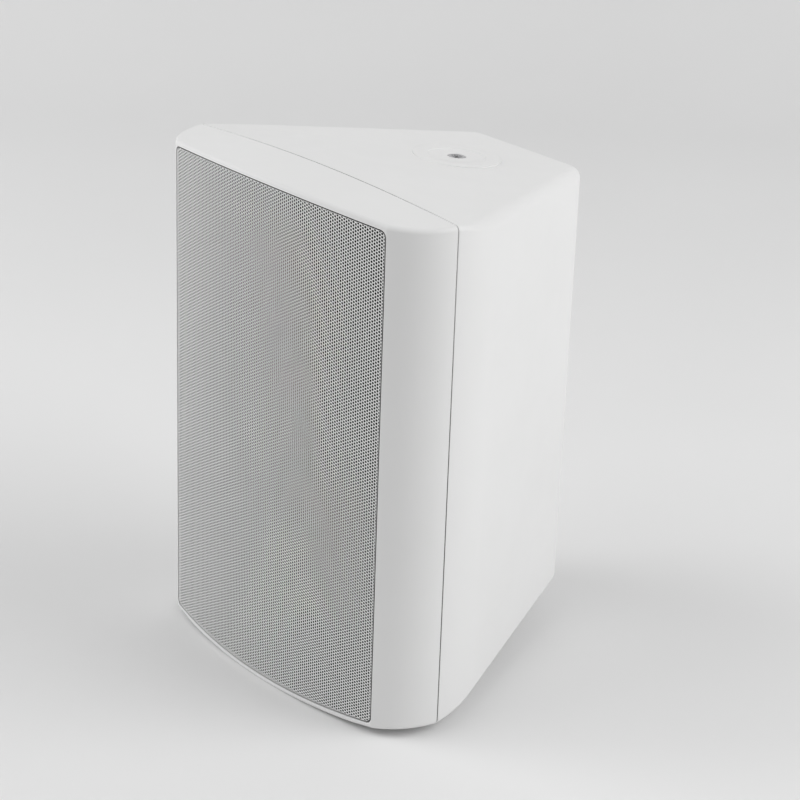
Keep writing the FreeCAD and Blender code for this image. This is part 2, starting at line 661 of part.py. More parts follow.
def housing_screws():
    length = HOUSING_SCREW_GRIP - BAFFLE_Y
    head = (HOUSING_SCREW_HEAD_RADIUS, HOUSING_SCREW_HEAD_HEIGHT)
    return [screw(x, z, BAFFLE_Y, *head, HOUSING_SCREW_RADIUS, length) for x, z in post_places()]


# Grille


def grille_openings():
    """Six-sided openings in staggered columns, with the open share of the perforated sheet."""
    across = OPENING_PITCH * math.sqrt(3) / 2
    corner_radius = OPENING_PITCH * math.sqrt(OPENING_SHARE / 3)
    reach = corner_radius + GRILLE_GAP + SHEET + OPENING_BORDER
    columns = int((RECESS_HALF_WIDTH - reach) / across)
    cutters = []
    for column in range(-columns, columns + 1):
        x = column * across
        shift = OPENING_PITCH / 2 if column % 2 else 0.0
        top = crown_z(x) - TOP_LIP - reach
        rows = int((top - shift) / OPENING_PITCH)
        first = -rows - 1 if column % 2 else -rows
        for row in range(first, rows + 1):
            z = row * OPENING_PITCH + shift
            ring = on_circle(6, corner_radius, x, z)
            corners = [Vector(px, FRONT_Y - WALL, pz) for px, pz in ring]
            face = Part.Face(Part.makePolygon(corners + corners[:1]))
            cutters.append(face.extrude(BACKWARD * FRONT_DEPTH))
    print("grille openings", len(cutters))
    return cutters


def grille():
    """A sheet pressed to the curve of the front, with a flange bent back all round."""
    ahead = FRONT_Y - WALL
    block = grille_prism(GRILLE_GAP, ahead, BAFFLE_Y).common(front_drum(GRILLE_SINK))
    face_edges = [edge for edge in block.Edges if edge.BoundBox.YMax < BAFFLE_Y - GRILLE_BEND]
    block = block.makeFillet(GRILLE_BEND, face_edges)
    inner = grille_prism(GRILLE_GAP + SHEET, ahead, BAFFLE_Y).common(front_drum(GRILLE_SINK + SHEET))
    sheet = block.cut(inner).cut(front_drum(GRILLE_SINK + FLANGE_DEPTH))
    return sheet.cut(Part.makeCompound(grille_openings()))


def grille_foam():
    """Black foam behind the sheet."""
    depth = GRILLE_SINK + SHEET
    inset = GRILLE_GAP + SHEET + FOAM_CLEARANCE
    block = grille_prism(inset, FRONT_Y - WALL, BAFFLE_Y).common(front_drum(depth))
    return block.cut(front_drum(depth + FOAM_THICKNESS))


# Woofer


def woofer_screw_places():
    return on_circle(WOOFER_SCREWS, WOOFER_SCREW_CIRCLE, 0, WOOFER_Z, 180.0 / WOOFER_SCREWS)


def woofer_basket():
    """Pressed frame: flange, windowed cone and base, with a ring that the spider is glued to."""
    seat = WOOFER_SEAT
    rim = WOOFER_CUTOUT_RADIUS - WOOFER_CUTOUT_CLEARANCE
    base = seat + BASKET_DEPTH
    floor = base - BASKET_BASE_WALL
    profile = [
        (WOOFER_FLANGE_RADIUS, seat - WOOFER_FLANGE),
        (WOOFER_FLANGE_RADIUS, seat),
        (rim, seat),
        (BASKET_BASE_RADIUS, floor),
        (BASKET_BASE_RADIUS, base),
        (BASKET_BASE_HOLE, base),
        (BASKET_BASE_HOLE, floor),
        (BASKET_BASE_RADIUS - BASKET_WALL, floor),
        (rim - BASKET_WALL, seat),
        (rim - BASKET_WALL, seat - WOOFER_FLANGE),
    ]
    basket = turned(profile, 0, WOOFER_Z)
    for index in range(BASKET_WINDOWS):
        start = seat + BASKET_WINDOW_START
        end = seat + BASKET_WINDOW_END
        half = BASKET_WINDOW_WIDTH / 2
        window = box(-half, half, start, end, WOOFER_Z, WOOFER_Z + WOOFER_FLANGE_RADIUS)
        window.rotate(Vector(0, 0, WOOFER_Z), BACKWARD, 360.0 * index / BASKET_WINDOWS)
        basket = basket.cut(window)
    landing_y = seat + SPIDER_LANDING
    landing_end = landing_y + SPIDER_LANDING_WALL
    narrowing = (rim - BASKET_BASE_RADIUS) / (floor - seat)
    inside_front = rim - BASKET_WALL - narrowing * (landing_y - seat)
    outside_back = rim - narrowing * (landing_end - seat)
    reach = (inside_front + outside_back) / 2
    basket = basket.fuse(tube(reach, SPIDER_LANDING_RADIUS, landing_y, landing_end, 0, WOOFER_Z))
    front = seat - WOOFER_FLANGE
    holes = [rod(DRIVER_SCREW_RADIUS, front, seat, x, z) for x, z in woofer_screw_places()]
    return basket.cut(Part.makeCompound(holes)).removeSplitter()


def woofer_gasket():
    ring = tube(WOOFER_FLANGE_RADIUS, WOOFER_CUTOUT_RADIUS, WOOFER_SEAT, BAFFLE_Y, 0, WOOFER_Z)
    holes = [rod(DRIVER_SCREW_RADIUS, WOOFER_SEAT, BAFFLE_Y, x, z) for x, z in woofer_screw_places()]
    return ring.cut(Part.makeCompound(holes))


def woofer_motor():
    """Top plate, magnet, and back plate with its vented pole, from front to back."""
    start = WOOFER_SEAT + BASKET_DEPTH
    magnet_y = start + TOP_PLATE_THICKNESS
    back_y = magnet_y + MAGNET_THICKNESS
    end = back_y + BACK_PLATE_THICKNESS
    pole_radius = COIL_RADIUS - COIL_THICKNESS - COIL_GAP
    plate = tube(TOP_PLATE_RADIUS, COIL_RADIUS + COIL_GAP, start, magnet_y, 0, WOOFER_Z)
    magnet = tube(MAGNET_RADIUS, MAGNET_HOLE_RADIUS, magnet_y, back_y, 0, WOOFER_Z)
    yoke = rod(TOP_PLATE_RADIUS, back_y, end, 0, WOOFER_Z).fuse(rod(pole_radius, start, end, 0, WOOFER_Z))
    yoke = yoke.cut(rod(POLE_VENT_RADIUS, start, end, 0, WOOFER_Z)).removeSplitter()
    return plate, magnet, yoke


def cone_front_y(radius):
    """Where the cone's front lies at a radius, between its neck and its flat rim."""
    rim_y = WOOFER_SEAT - WOOFER_FLANGE
    neck_y = rim_y + CONE_DEPTH
    flat = SURROUND_INNER_RADIUS - SURROUND_LIP
    return neck_y + (rim_y - neck_y) * (radius - COIL_RADIUS) / (flat - COIL_RADIUS)


def woofer_cone():
    rim_y = WOOFER_SEAT - WOOFER_FLANGE
    flat = SURROUND_INNER_RADIUS - SURROUND_LIP
    neck_y = cone_front_y(COIL_RADIUS)
    profile = [
        (COIL_RADIUS, neck_y),
        (flat, rim_y),
        (SURROUND_INNER_RADIUS, rim_y),
        (SURROUND_INNER_RADIUS, rim_y + CONE_THICKNESS),
        (flat, rim_y + CONE_THICKNESS),
        (COIL_RADIUS, neck_y + CONE_THICKNESS),
    ]
    return turned(profile, 0, WOOFER_Z)


def cap_shell(radius, rise, thickness, base_y, z):
    """A domed shell that bulges to the front from base_y."""
    sphere_radius = (radius ** 2 + rise ** 2) / (2 * rise)
    centre = Vector(0, base_y - rise + sphere_radius, z)
    ball = Part.makeSphere(sphere_radius, centre).cut(Part.makeSphere(sphere_radius - thickness, centre))
    return ball.common(rod(radius, base_y - rise - thickness, base_y, 0, z))


def dust_cap():
    base_y = cone_front_y(DUST_CAP_RADIUS)
    return cap_shell(DUST_CAP_RADIUS, DUST_CAP_RISE, CONE_THICKNESS, base_y, WOOFER_Z)


def woofer_voice_coil():
    start = cone_front_y(COIL_RADIUS)
    return tube(COIL_RADIUS, COIL_RADIUS - COIL_THICKNESS, start, start + COIL_LENGTH, 0, WOOFER_Z)


def woofer_surround():
    """Half-roll edge between the cone's rim and the basket's flange."""
    seat = WOOFER_SEAT - WOOFER_FLANGE
    middle = (SURROUND_INNER_RADIUS + SURROUND_OUTER_RADIUS) / 2
    roll = (SURROUND_OUTER_RADIUS - SURROUND_INNER_RADIUS) / 2
    front = seat - SURROUND_THICKNESS

    def roll_section(radius):
        left = Vector(middle - radius, seat, WOOFER_Z)
        right = Vector(middle + radius, seat, WOOFER_Z)
        crest = Vector(middle, seat - radius, WOOFER_Z)
        face = Part.Face(Part.Wire([arc(left, crest, right), line(right, left)]))
        return face.revolve(Vector(0, 0, WOOFER_Z), BACKWARD, 360)

    ring = roll_section(roll + SURROUND_THICKNESS / 2).cut(roll_section(roll - SURROUND_THICKNESS / 2))
    inner_lip = SURROUND_INNER_RADIUS - SURROUND_LIP
    outer_lip = SURROUND_OUTER_RADIUS + SURROUND_LIP
    ring = ring.fuse(tube(SURROUND_INNER_RADIUS, inner_lip, front, seat, 0, WOOFER_Z))
    return ring.fuse(tube(outer_lip, SURROUND_OUTER_RADIUS, front, seat, 0, WOOFER_Z)).removeSplitter()


def woofer_spider():
    """Corrugated disc that centres the coil."""
    seat = WOOFER_SEAT + SPIDER_LANDING
    inner = SPIDER_LANDING_RADIUS - SPIDER_WAVE_HEIGHT
    start = COIL_RADIUS + SPIDER_WAVE_HEIGHT
    step = (inner - start) / (2 * SPIDER_WAVES)
    back = [(COIL_RADIUS, seat)]
    for index in range(2 * SPIDER_WAVES + 1):
        height = SPIDER_WAVE_HEIGHT if index % 2 else 0.0
        back.append((start + step * index, seat - height))
    back.append((SPIDER_RADIUS, seat))
    front = [(radius, y - SPIDER_THICKNESS) for radius, y in reversed(back)]
    return turned(back + front, 0, WOOFER_Z)


def driver_screws(places, head_radius, head_y):
    length = BAFFLE_Y - head_y + DRIVER_SCREW_GRIP
    head = (head_radius, DRIVER_SCREW_HEAD_HEIGHT)
    return [screw(x, z, head_y, *head, DRIVER_SCREW_RADIUS, length) for x, z in places]


# Tweeter


def tweeter_screw_places():
    return on_circle(TWEETER_SCREWS, TWEETER_SCREW_CIRCLE, 0, TWEETER_Z, 180.0 / TWEETER_SCREWS)


def tweeter_faceplate():
    """Round plate with a flared horn in front of the dome."""
    front = BAFFLE_Y - TWEETER_PLATE
    back = BAFFLE_Y + TWEETER_BODY_DEPTH
    plate = rod(TWEETER_PLATE_RADIUS, front, BAFFLE_Y, 0, TWEETER_Z)
    plate = plate.fuse(rod(TWEETER_BODY_RADIUS, BAFFLE_Y, back, 0, TWEETER_Z))
    mouth = Vector(TWEETER_MOUTH_RADIUS, front, TWEETER_Z)
    throat = Vector(TWEETER_THROAT_RADIUS, front + TWEETER_HORN_DEPTH, TWEETER_Z)
    belly = Vector(throat.x + 0.3 * (mouth.x - throat.x), front + 0.55 * TWEETER_HORN_DEPTH, TWEETER_Z)
    axis_end = Vector(0, throat.y, TWEETER_Z)
    axis_start = Vector(0, front, TWEETER_Z)
    edges = [arc(mouth, belly, throat), line(throat, axis_end), line(axis_end, axis_start), line(axis_start, mouth)]
    horn = Part.Face(Part.Wire(edges)).revolve(axis_start, BACKWARD, 360)
    plate = plate.cut(horn).cut(rod(TWEETER_THROAT_RADIUS, front, back, 0, TWEETER_Z))
    holes = [rod(DRIVER_SCREW_RADIUS, front, BAFFLE_Y, x, z) for x, z in tweeter_screw_places()]
    return plate.cut(Part.makeCompound(holes)).removeSplitter()


def tweeter_dome():
    """Soft dome with the flat rim that it hangs in."""
    base_y = BAFFLE_Y + TWEETER_BODY_DEPTH - DOME_STANDOFF
    dome = cap_shell(DOME_RADIUS, DOME_RISE, DOME_THICKNESS, base_y, TWEETER_Z)
    hole = DOME_RADIUS - DOME_THICKNESS
    rim = tube(DOME_RIM_RADIUS, hole, base_y - DOME_THICKNESS, base_y, 0, TWEETER_Z)
    return dome.fuse(rim).removeSplitter()


def tweeter_voice_coil():
    start = BAFFLE_Y + TWEETER_BODY_DEPTH - DOME_STANDOFF
    inner = DOME_RADIUS - TWEETER_COIL_THICKNESS / 2
    outer = DOME_RADIUS + TWEETER_COIL_THICKNESS / 2
    return tube(outer, inner, start, start + TWEETER_COIL_LENGTH, 0, TWEETER_Z)


def tweeter_motor():
    """Top plate, magnet, and back plate with its pole, from front to back."""
    start = BAFFLE_Y + TWEETER_BODY_DEPTH
    magnet_y = start + TWEETER_TOP_PLATE
    back_y = magnet_y + TWEETER_MAGNET_THICKNESS
    end = back_y + TWEETER_BACK_PLATE
    half_coil = TWEETER_COIL_THICKNESS / 2 + TWEETER_COIL_GAP
    plate = tube(TWEETER_TOP_PLATE_RADIUS, DOME_RADIUS + half_coil, start, magnet_y, 0, TWEETER_Z)
    magnet = tube(TWEETER_MAGNET_RADIUS, TWEETER_MAGNET_HOLE_RADIUS, magnet_y, back_y, 0, TWEETER_Z)
    yoke = rod(TWEETER_TOP_PLATE_RADIUS, back_y, end, 0, TWEETER_Z)
    yoke = yoke.fuse(rod(DOME_RADIUS - half_coil, start, back_y, 0, TWEETER_Z)).removeSplitter()
    return plate, magnet, yoke


# Bass ports


def port_tube(side):
    x = side * PORT_X
    front = BAFFLE_Y - PORT_FLANGE
    outer = PORT_BORE_RADIUS + PORT_WALL
    body = rod(PORT_FLANGE_RADIUS, front, BAFFLE_Y, x, PORT_Z)
    body = body.fuse(rod(outer, BAFFLE_Y, front + PORT_LENGTH, x, PORT_Z))
    body = body.cut(rod(PORT_BORE_RADIUS, front, front + PORT_LENGTH, x, PORT_Z)).removeSplitter()
    mouth = [edge for edge in body.Edges if edge.Closed and abs(edge.CenterOfMass.y - front) < PORT_CLEARANCE]
    lip = min(mouth, key=lambda edge: edge.Length)
    return body.makeFillet(PORT_FLARE, [lip])


# Crossover


def board_face_y():
    """Front of the crossover board, which its components stand on."""
    return BACK_INNER_Y - BOARD_STANDOFF - BOARD_THICKNESS


def crossover_board():
    back = board_face_y() + BOARD_THICKNESS
    board = rounded_plate(BOARD_WIDTH, BOARD_HEIGHT, BOARD_POST_INSET / 2, board_face_y(), back, BOARD_Z)
    hole = BOARD_SCREW_RADIUS + SCREW_CLEARANCE
    holes = [rod(hole, board_face_y(), back, x, z) for x, z in board_screw_places()]
    return board.cut(Part.makeCompound(holes))


def crossover_inductor(radius, height, z):
    """A coil wound on a flanged bobbin, on the board's middle line."""
    back = board_face_y()
    front = back - height
    bobbin = radius - 2 * COIL_FLANGE
    body = rod(radius, front, front + COIL_FLANGE, 0, z)
    body = body.fuse(rod(radius, back - COIL_FLANGE, back, 0, z))
    body = body.fuse(rod(bobbin, front, back, 0, z))
    return body.cut(rod(radius / 2.5, front, back, 0, z)).removeSplitter()


def crossover_capacitors():
    """Two film capacitors that lie on the board, one above the other."""
    y = board_face_y() - CAPACITOR_RADIUS
    pitch = 2 * CAPACITOR_RADIUS + COIL_FLANGE
    low = BOARD_Z - BOARD_HEIGHT / 2 + CAPACITOR_MARGIN + CAPACITOR_RADIUS
    along = Vector(1, 0, 0)
    capacitors = []
    for index in (0, 1):
        start = Vector(-CAPACITOR_LENGTH / 2, y, low + index * pitch)
        capacitors.append(Part.makeCylinder(CAPACITOR_RADIUS, CAPACITOR_LENGTH, start, along))
    return capacitors


def crossover_resistor():
    """A ceramic power resistor, upright beside the small inductor."""
    face = board_face_y()
    x0 = SMALL_INDUCTOR_RADIUS + RESISTOR_GAP
    z = BOARD_Z - SMALL_INDUCTOR_BELOW
    return box(x0, x0 + RESISTOR_SIZE, face - RESISTOR_SIZE, face, z - RESISTOR_LENGTH / 2, z + RESISTOR_LENGTH / 2)


def crossover_screws():
    length = BOARD_THICKNESS + BOARD_SCREW_GRIP
    head = (BOARD_SCREW_HEAD_RADIUS, BOARD_SCREW_HEAD_HEIGHT)
    face = board_face_y()
    return [screw(x, z, face, *head, BOARD_SCREW_RADIUS, length) for x, z in board_screw_places()]


# Terminal cup


def cup_floor_y():
    """Outer face of the cup's floor."""
    return REAR_DEPTH - CUP_DEPTH


def block_face_y():
    """Face of the terminal block inside the cup."""
    return cup_floor_y() + BLOCK_DEPTH


def pivot():
    """Where the levers' pin crosses the plane of symmetry."""
    return Vector(0, block_face_y() - LEVER_PIVOT_SINK, CUP_Z + LEVER_PIVOT_ABOVE)


def contact_box(x, grow):
    half = CONTACT_WIDTH / 2 + grow
    low = CUP_Z - CONTACT_BELOW - grow
    start = cup_floor_y() - CUP_WALL - CONTACT_TAIL
    end = block_face_y() - LEVER_POCKET_DEPTH + CONTACT_REACH
    return box(x - half, x + half, start, end, low - CONTACT_THICKNESS, low)


def terminal_cup():
    """Recessed dish with the terminal block moulded on its floor."""
    back = REAR_DEPTH
    seat = back - CUP_FLANGE
    floor = cup_floor_y()
    cup = rounded_plate(CUP_FLANGE_WIDTH, CUP_FLANGE_HEIGHT, CUP_CORNER, seat, back, CUP_Z)
    cup = cup.fuse(rounded_plate(CUP_WIDTH, CUP_HEIGHT, CUP_CORNER, floor - CUP_WALL, seat, CUP_Z))
    inside = (CUP_WIDTH - 2 * CUP_WALL, CUP_HEIGHT - 2 * CUP_WALL, CUP_CORNER - CUP_WALL)
    cup = cup.cut(rounded_plate(*inside, floor, back, CUP_Z))
    half = BLOCK_WIDTH / 2
    face = block_face_y()
    block = box(-half, half, floor, face, CUP_Z - BLOCK_HEIGHT / 2, CUP_Z + BLOCK_HEIGHT / 2)
    cup = cup.fuse(block).removeSplitter()
    cuts = []
    pocket_half = LEVER_WIDTH / 2 + LEVER_CLEARANCE
    pocket_z = LEVER_HEIGHT / 2 + LEVER_CLEARANCE
    pocket_y = face - LEVER_POCKET_DEPTH
    for x in (-LEVER_X, LEVER_X):
        cuts.append(box(x - pocket_half, x + pocket_half, pocket_y, face, CUP_Z - pocket_z, CUP_Z + pocket_z))
        cuts.append(contact_box(x, 0))
        hole_foot = Vector(x, pocket_y + LEVER_POCKET_DEPTH / 2, CUP_Z - BLOCK_HEIGHT / 2)
        cuts.append(Part.makeCylinder(WIRE_HOLE_RADIUS, BLOCK_HEIGHT / 2, hole_foot, UP))
    cuts.append(terminal_pin())
    head = CUP_SCREW_HEAD_RADIUS + SCREW_CLEARANCE
    shaft = CUP_SCREW_RADIUS + SCREW_CLEARANCE
    for x, z in cup_screw_places():
        cuts.append(rod(head, back - CUP_SCREW_SINK, back, x, z))
        cuts.append(rod(shaft, seat, back, x, z))
    return cup.cut(Part.makeCompound(cuts))


def terminal_pin():
    half = LEVER_X + LEVER_WIDTH / 2 + LEVER_CLEARANCE + PIN_RADIUS
    start = pivot() - Vector(half, 0, 0)
    return Part.makeCylinder(PIN_RADIUS, 2 * half, start, Vector(1, 0, 0))


def terminal_lever(x):
    """Spring lever that is pressed in to let a bare wire into its hole."""
    centre = pivot()
    half = LEVER_WIDTH / 2
    y0 = centre.y - LEVER_THICKNESS / 2
    z0 = CUP_Z - LEVER_HEIGHT / 2
    z1 = CUP_Z + LEVER_HEIGHT / 2
    lever = box(x - half, x + half, y0, y0 + LEVER_THICKNESS, z0, z1)
    knuckle = LEVER_THICKNESS * 0.7
    start = Vector(x - half, centre.y, centre.z)
    along = Vector(1, 0, 0)
    lever = lever.fuse(Part.makeCylinder(knuckle, LEVER_WIDTH, start, along))
    lower = [edge for edge in lever.Edges if edge.BoundBox.ZMax < z0 + PIN_RADIUS and edge.BoundBox.XLength > half]
    lever = lever.makeFillet(LEVER_THICKNESS / 4, lower)
    lever = lever.cut(Part.makeCylinder(PIN_RADIUS + PIN_CLEARANCE, LEVER_WIDTH, start, along))
    lever.rotate(centre, along, LEVER_TILT)
    return lever


def terminal_screws():
    """Cup screws, driven from behind, with their heads in the flange's counterbores."""
    screws = []
    seat = REAR_DEPTH - CUP_SCREW_SINK
    length = CUP_SCREW_GRIP + CUP_FLANGE - CUP_SCREW_SINK
    for x, z in cup_screw_places():
        forward = screw(x, z, -seat, CUP_SCREW_HEAD_RADIUS, CUP_SCREW_SINK, CUP_SCREW_RADIUS, length)
        screws.append(forward.mirror(Vector(0, 0, 0), BACKWARD))
    return screws


# Damping pads


def damping_pad(side):
    """A felt pad against the inside of a flank."""
    start = FLANK_CENTRE + FLANK_NORMAL * (FLANK_RADIUS - WALL - DAMPING_CLEARANCE) + FLANK_ALONG * DAMPING_START
    depth = FLANK_NORMAL * DAMPING_THICKNESS
    along = FLANK_ALONG * DAMPING_LENGTH
    corners = [start, start + along, start + along - depth, start - depth]
    half_height = RIB_Z - RIB_THICKNESS / 2 - DAMPING_MARGIN
    corners = [corner - UP * half_height for corner in corners]
    pad = Part.Face(Part.makePolygon(corners + corners[:1])).extrude(UP * (2 * half_height))
    return pad if side > 0 else pad.mirror(Vector(0, 0, 0), Vector(1, 0, 0))


def build():
    os.makedirs("parts", exist_ok=True)
    save("front_bezel", front_bezel())
    save("rear_housing", rear_housing())
    save("seam_seal", seam_seal())
    save("housing_screws", Part.makeCompound(housing_screws()))
    save("bracket_insert_top", bracket_insert(1))
    save("bracket_insert_bottom", bracket_insert(-1))
    save("grille", grille())
    save("grille_foam", grille_foam())
    save("woofer_basket", woofer_basket())
    save("woofer_gasket", woofer_gasket())
    for name, shape in zip(("top_plate", "magnet", "yoke"), woofer_motor()):
        save("woofer_" + name, shape)
    save("woofer_cone", woofer_cone())
    save("woofer_dust_cap", dust_cap())
    save("woofer_voice_coil", woofer_voice_coil())
    save("woofer_surround", woofer_surround())
    save("woofer_spider", woofer_spider())
    flange_face = WOOFER_SEAT - WOOFER_FLANGE
    screws = driver_screws(woofer_screw_places(), WOOFER_SCREW_HEAD_RADIUS, flange_face)
    save("woofer_screws", Part.makeCompound(screws))
    save("tweeter_faceplate", tweeter_faceplate())
    save("tweeter_dome", tweeter_dome())
    save("tweeter_voice_coil", tweeter_voice_coil())
    for name, shape in zip(("top_plate", "magnet", "yoke"), tweeter_motor()):
        save("tweeter_" + name, shape)
    plate_face = BAFFLE_Y - TWEETER_PLATE
    screws = driver_screws(tweeter_screw_places(), TWEETER_SCREW_HEAD_RADIUS, plate_face)
    save("tweeter_screws", Part.makeCompound(screws))
    save("port_tube_left", port_tube(-1))
    save("port_tube_right", port_tube(1))
    save("crossover_board", crossover_board())
    large_z = BOARD_Z + BOARD_HEIGHT / 2 - LARGE_INDUCTOR_MARGIN - LARGE_INDUCTOR_RADIUS
    save("crossover_inductor_large", crossover_inductor(LARGE_INDUCTOR_RADIUS, LARGE_INDUCTOR_HEIGHT, large_z))
    small_z = BOARD_Z - SMALL_INDUCTOR_BELOW
    save("crossover_inductor_small", crossover_inductor(SMALL_INDUCTOR_RADIUS, SMALL_INDUCTOR_HEIGHT, small_z))
    save("crossover_capacitors", Part.makeCompound(crossover_capacitors()))
    save("crossover_resistor", crossover_resistor())
    save("crossover_screws", Part.makeCompound(crossover_screws()))
    save("terminal_cup", terminal_cup())
    save("terminal_pin", terminal_pin())
    save("terminal_lever_red", terminal_lever(LEVER_X))
    save("terminal_lever_black", terminal_lever(-LEVER_X))
    save("terminal_contacts", Part.makeCompound([contact_box(x, 0) for x in (-LEVER_X, LEVER_X)]))
    save("terminal_screws", Part.makeCompound(terminal_screws()))
    save("damping_pad_left", damping_pad(-1))
    save("damping_pad_right", damping_pad(1))


build()
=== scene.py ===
# %% [markdown]
# # A white wall speaker
#
# This lesson dresses a two-way wall speaker for a studio picture. The solids come from a CAD model, which fixes
# every size and every moving part. Blender adds what a camera would see: soft edges, the fine holes of the grille
# and the finish of each material. Lengths are written in millimetres, because that is how the real mouldings are
# measured.

# %% Load the solids
import bmesh
import bpy
import json
import math
import numpy as np
from mathutils import Matrix, Vector


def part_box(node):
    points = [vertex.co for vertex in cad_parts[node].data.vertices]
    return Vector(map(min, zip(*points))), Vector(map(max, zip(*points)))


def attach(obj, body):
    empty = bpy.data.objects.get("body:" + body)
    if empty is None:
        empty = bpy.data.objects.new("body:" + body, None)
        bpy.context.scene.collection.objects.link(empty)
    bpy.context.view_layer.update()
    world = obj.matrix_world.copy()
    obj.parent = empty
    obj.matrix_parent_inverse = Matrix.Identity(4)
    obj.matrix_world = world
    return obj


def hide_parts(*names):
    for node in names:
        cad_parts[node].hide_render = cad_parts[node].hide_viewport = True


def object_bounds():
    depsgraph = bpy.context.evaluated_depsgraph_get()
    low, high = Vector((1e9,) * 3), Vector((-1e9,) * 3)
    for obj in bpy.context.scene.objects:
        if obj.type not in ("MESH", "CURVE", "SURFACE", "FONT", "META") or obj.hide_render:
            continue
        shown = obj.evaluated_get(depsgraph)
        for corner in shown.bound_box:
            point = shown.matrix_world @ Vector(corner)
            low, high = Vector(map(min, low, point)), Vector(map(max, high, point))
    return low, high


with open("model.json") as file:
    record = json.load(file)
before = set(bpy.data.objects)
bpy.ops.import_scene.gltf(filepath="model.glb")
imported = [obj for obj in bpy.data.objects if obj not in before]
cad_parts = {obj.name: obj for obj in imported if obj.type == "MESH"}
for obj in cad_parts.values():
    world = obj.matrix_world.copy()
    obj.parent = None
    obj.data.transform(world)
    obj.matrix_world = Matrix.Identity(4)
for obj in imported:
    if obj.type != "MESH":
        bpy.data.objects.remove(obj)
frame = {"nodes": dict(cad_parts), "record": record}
cad_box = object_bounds()
scene = bpy.context.scene

# %% [markdown]
# ## Camera
#
# The picture looks down on the speaker from its right front corner, through a long lens. The angles and the
# distance were worked out from the outline of the speaker. They could be typed into the camera's rotation fields,
# but three axes in a matrix show more plainly where it looks: right, up, and back towards the viewer. It is tilted
# by two degrees.

# %% Place the camera
azimuth, elevation, tilt = (math.radians(angle) for angle in (48.2007, 23.2225, 2.0103))
backward = Vector((
    math.sin(azimuth) * math.cos(elevation), -math.cos(azimuth) * math.cos(elevation), math.sin(elevation),
))
level_right = Vector((math.cos(azimuth), math.sin(azimuth), 0))
level_up = backward.cross(level_right)
right = level_right * math.cos(tilt) + level_up * math.sin(tilt)
upward = level_up * math.cos(tilt) - level_right * math.sin(tilt)

lens = bpy.data.cameras.new("studio_camera")
lens.sensor_width = 36
lens.lens = 108.681
camera = bpy.data.objects.new("studio_camera", lens)
camera.matrix_world = Matrix((right, upward, backward)).transposed().to_4x4()
camera.location = (1.287419, -1.145099, 0.735926)
scene.collection.objects.link(camera)
scene.camera = camera
scene.view_settings.view_transform = "Standard"
print("camera", round(camera.location.length, 3), "m from the middle of the speaker")

# %% [markdown]
# ## Patches into skins
#
# A moulded shell is easiest to describe as a few smooth patches: a wall, a rounded rim, a top. Each patch is a
# grid of points. A subdivision surface could round them, but it pulls corners in, and these walls have to stay on
# the CAD model. So every patch is worked out point by point, and patches that share an edge are welded. Welded
# points share one normal, which is what makes light run smoothly from one patch to the next.


# %% Glue patches together
bezel_depth = 55.5
seam_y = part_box("front_bezel")[0].y * 1000 + bezel_depth
weld_reach = 2e-6  # metres


class Skin:
    """Grids of points, in millimetres from the seam, that are welded into one piece."""

    def __init__(self):
        self.grids, self.faces, self.count = [], [], 0

    def patch(self, rows, closed=False):
        rows = np.asarray(rows, float)
        height, width = rows.shape[:2]
        number = self.count + np.arange(height * width).reshape(height, width)
        if closed:
            number = np.hstack([number, number[:, :1]])
        corners = [number[:-1, :-1], number[:-1, 1:], number[1:, 1:], number[1:, :-1]]
        self.faces.append(np.stack(corners, -1).reshape(-1, 4))
        self.grids.append(rows.reshape(-1, 3))
        self.count += height * width

    def piece(self, name, crease=30):
        points = (np.vstack(self.grids) + (0, seam_y, 0)) / 1000
        mesh = bpy.data.meshes.new(name)
        mesh.from_pydata(points.tolist(), [], np.vstack(self.faces).tolist())
        weld = bmesh.new()
        weld.from_mesh(mesh)
        bmesh.ops.remove_doubles(weld, verts=weld.verts, dist=weld_reach)
        bmesh.ops.recalc_face_normals(weld, faces=weld.faces)
        weld.to_mesh(mesh)
        weld.free()
        mesh.shade_smooth()
        mesh.set_sharp_from_angle(angle=math.radians(crease))
        made = bpy.data.objects.new(name, mesh)
        scene.collection.objects.link(made)
        print(name, len(mesh.polygons), "faces")
        return made


def closed_piece(name, rows, crease=30):
    """A piece made of one patch that closes on itself."""
    skin = Skin()
    skin.patch(rows, closed=True)
    return skin.piece(name, crease)


print("the seam lies at", round(seam_y, 2), "mm")

# %% [markdown]
# ## Outline of the enclosure
#
# Seen from above, the enclosure is a chain of arcs and straight lines: a gently curved front, rounded cheeks that
# swing back to the seam, flanks that taper, and a narrow back. Each point also keeps the direction that faces
# outwards there, because the rounded rims need it.


# %% Draw arcs and lines
def along_arc(centre, radius, start, end, steps):
    angles = np.radians(np.linspace(start, end, steps + 1))
    facing = np.stack([np.cos(angles), np.sin(angles)], 1)
    return np.hstack([np.array(centre) + radius * facing, facing])


def along_line(start, end, facing, steps):
    share = np.linspace(0, 1, steps + 1)[:, None]
    points = np.array(start) * (1 - share) + np.array(end) * share
    return np.hstack([points, np.tile(facing, (steps + 1, 1))])


half_width, widest_y = 147.9, 4.4
front_radius, front_middle = 550.0, (0.0, 494.5)
corner_x = 120.7
corner_y = front_middle[1] - math.sqrt(front_radius ** 2 - corner_x ** 2)
cheek_depth = widest_y - corner_y
cheek_radius = ((half_width - corner_x) ** 2 + cheek_depth ** 2) / (2 * (half_width - corner_x))
cheek_middle = (half_width - cheek_radius, widest_y)
print("cheek radius", round(cheek_radius, 2), "mm, front corner", corner_x, round(corner_y, 2))

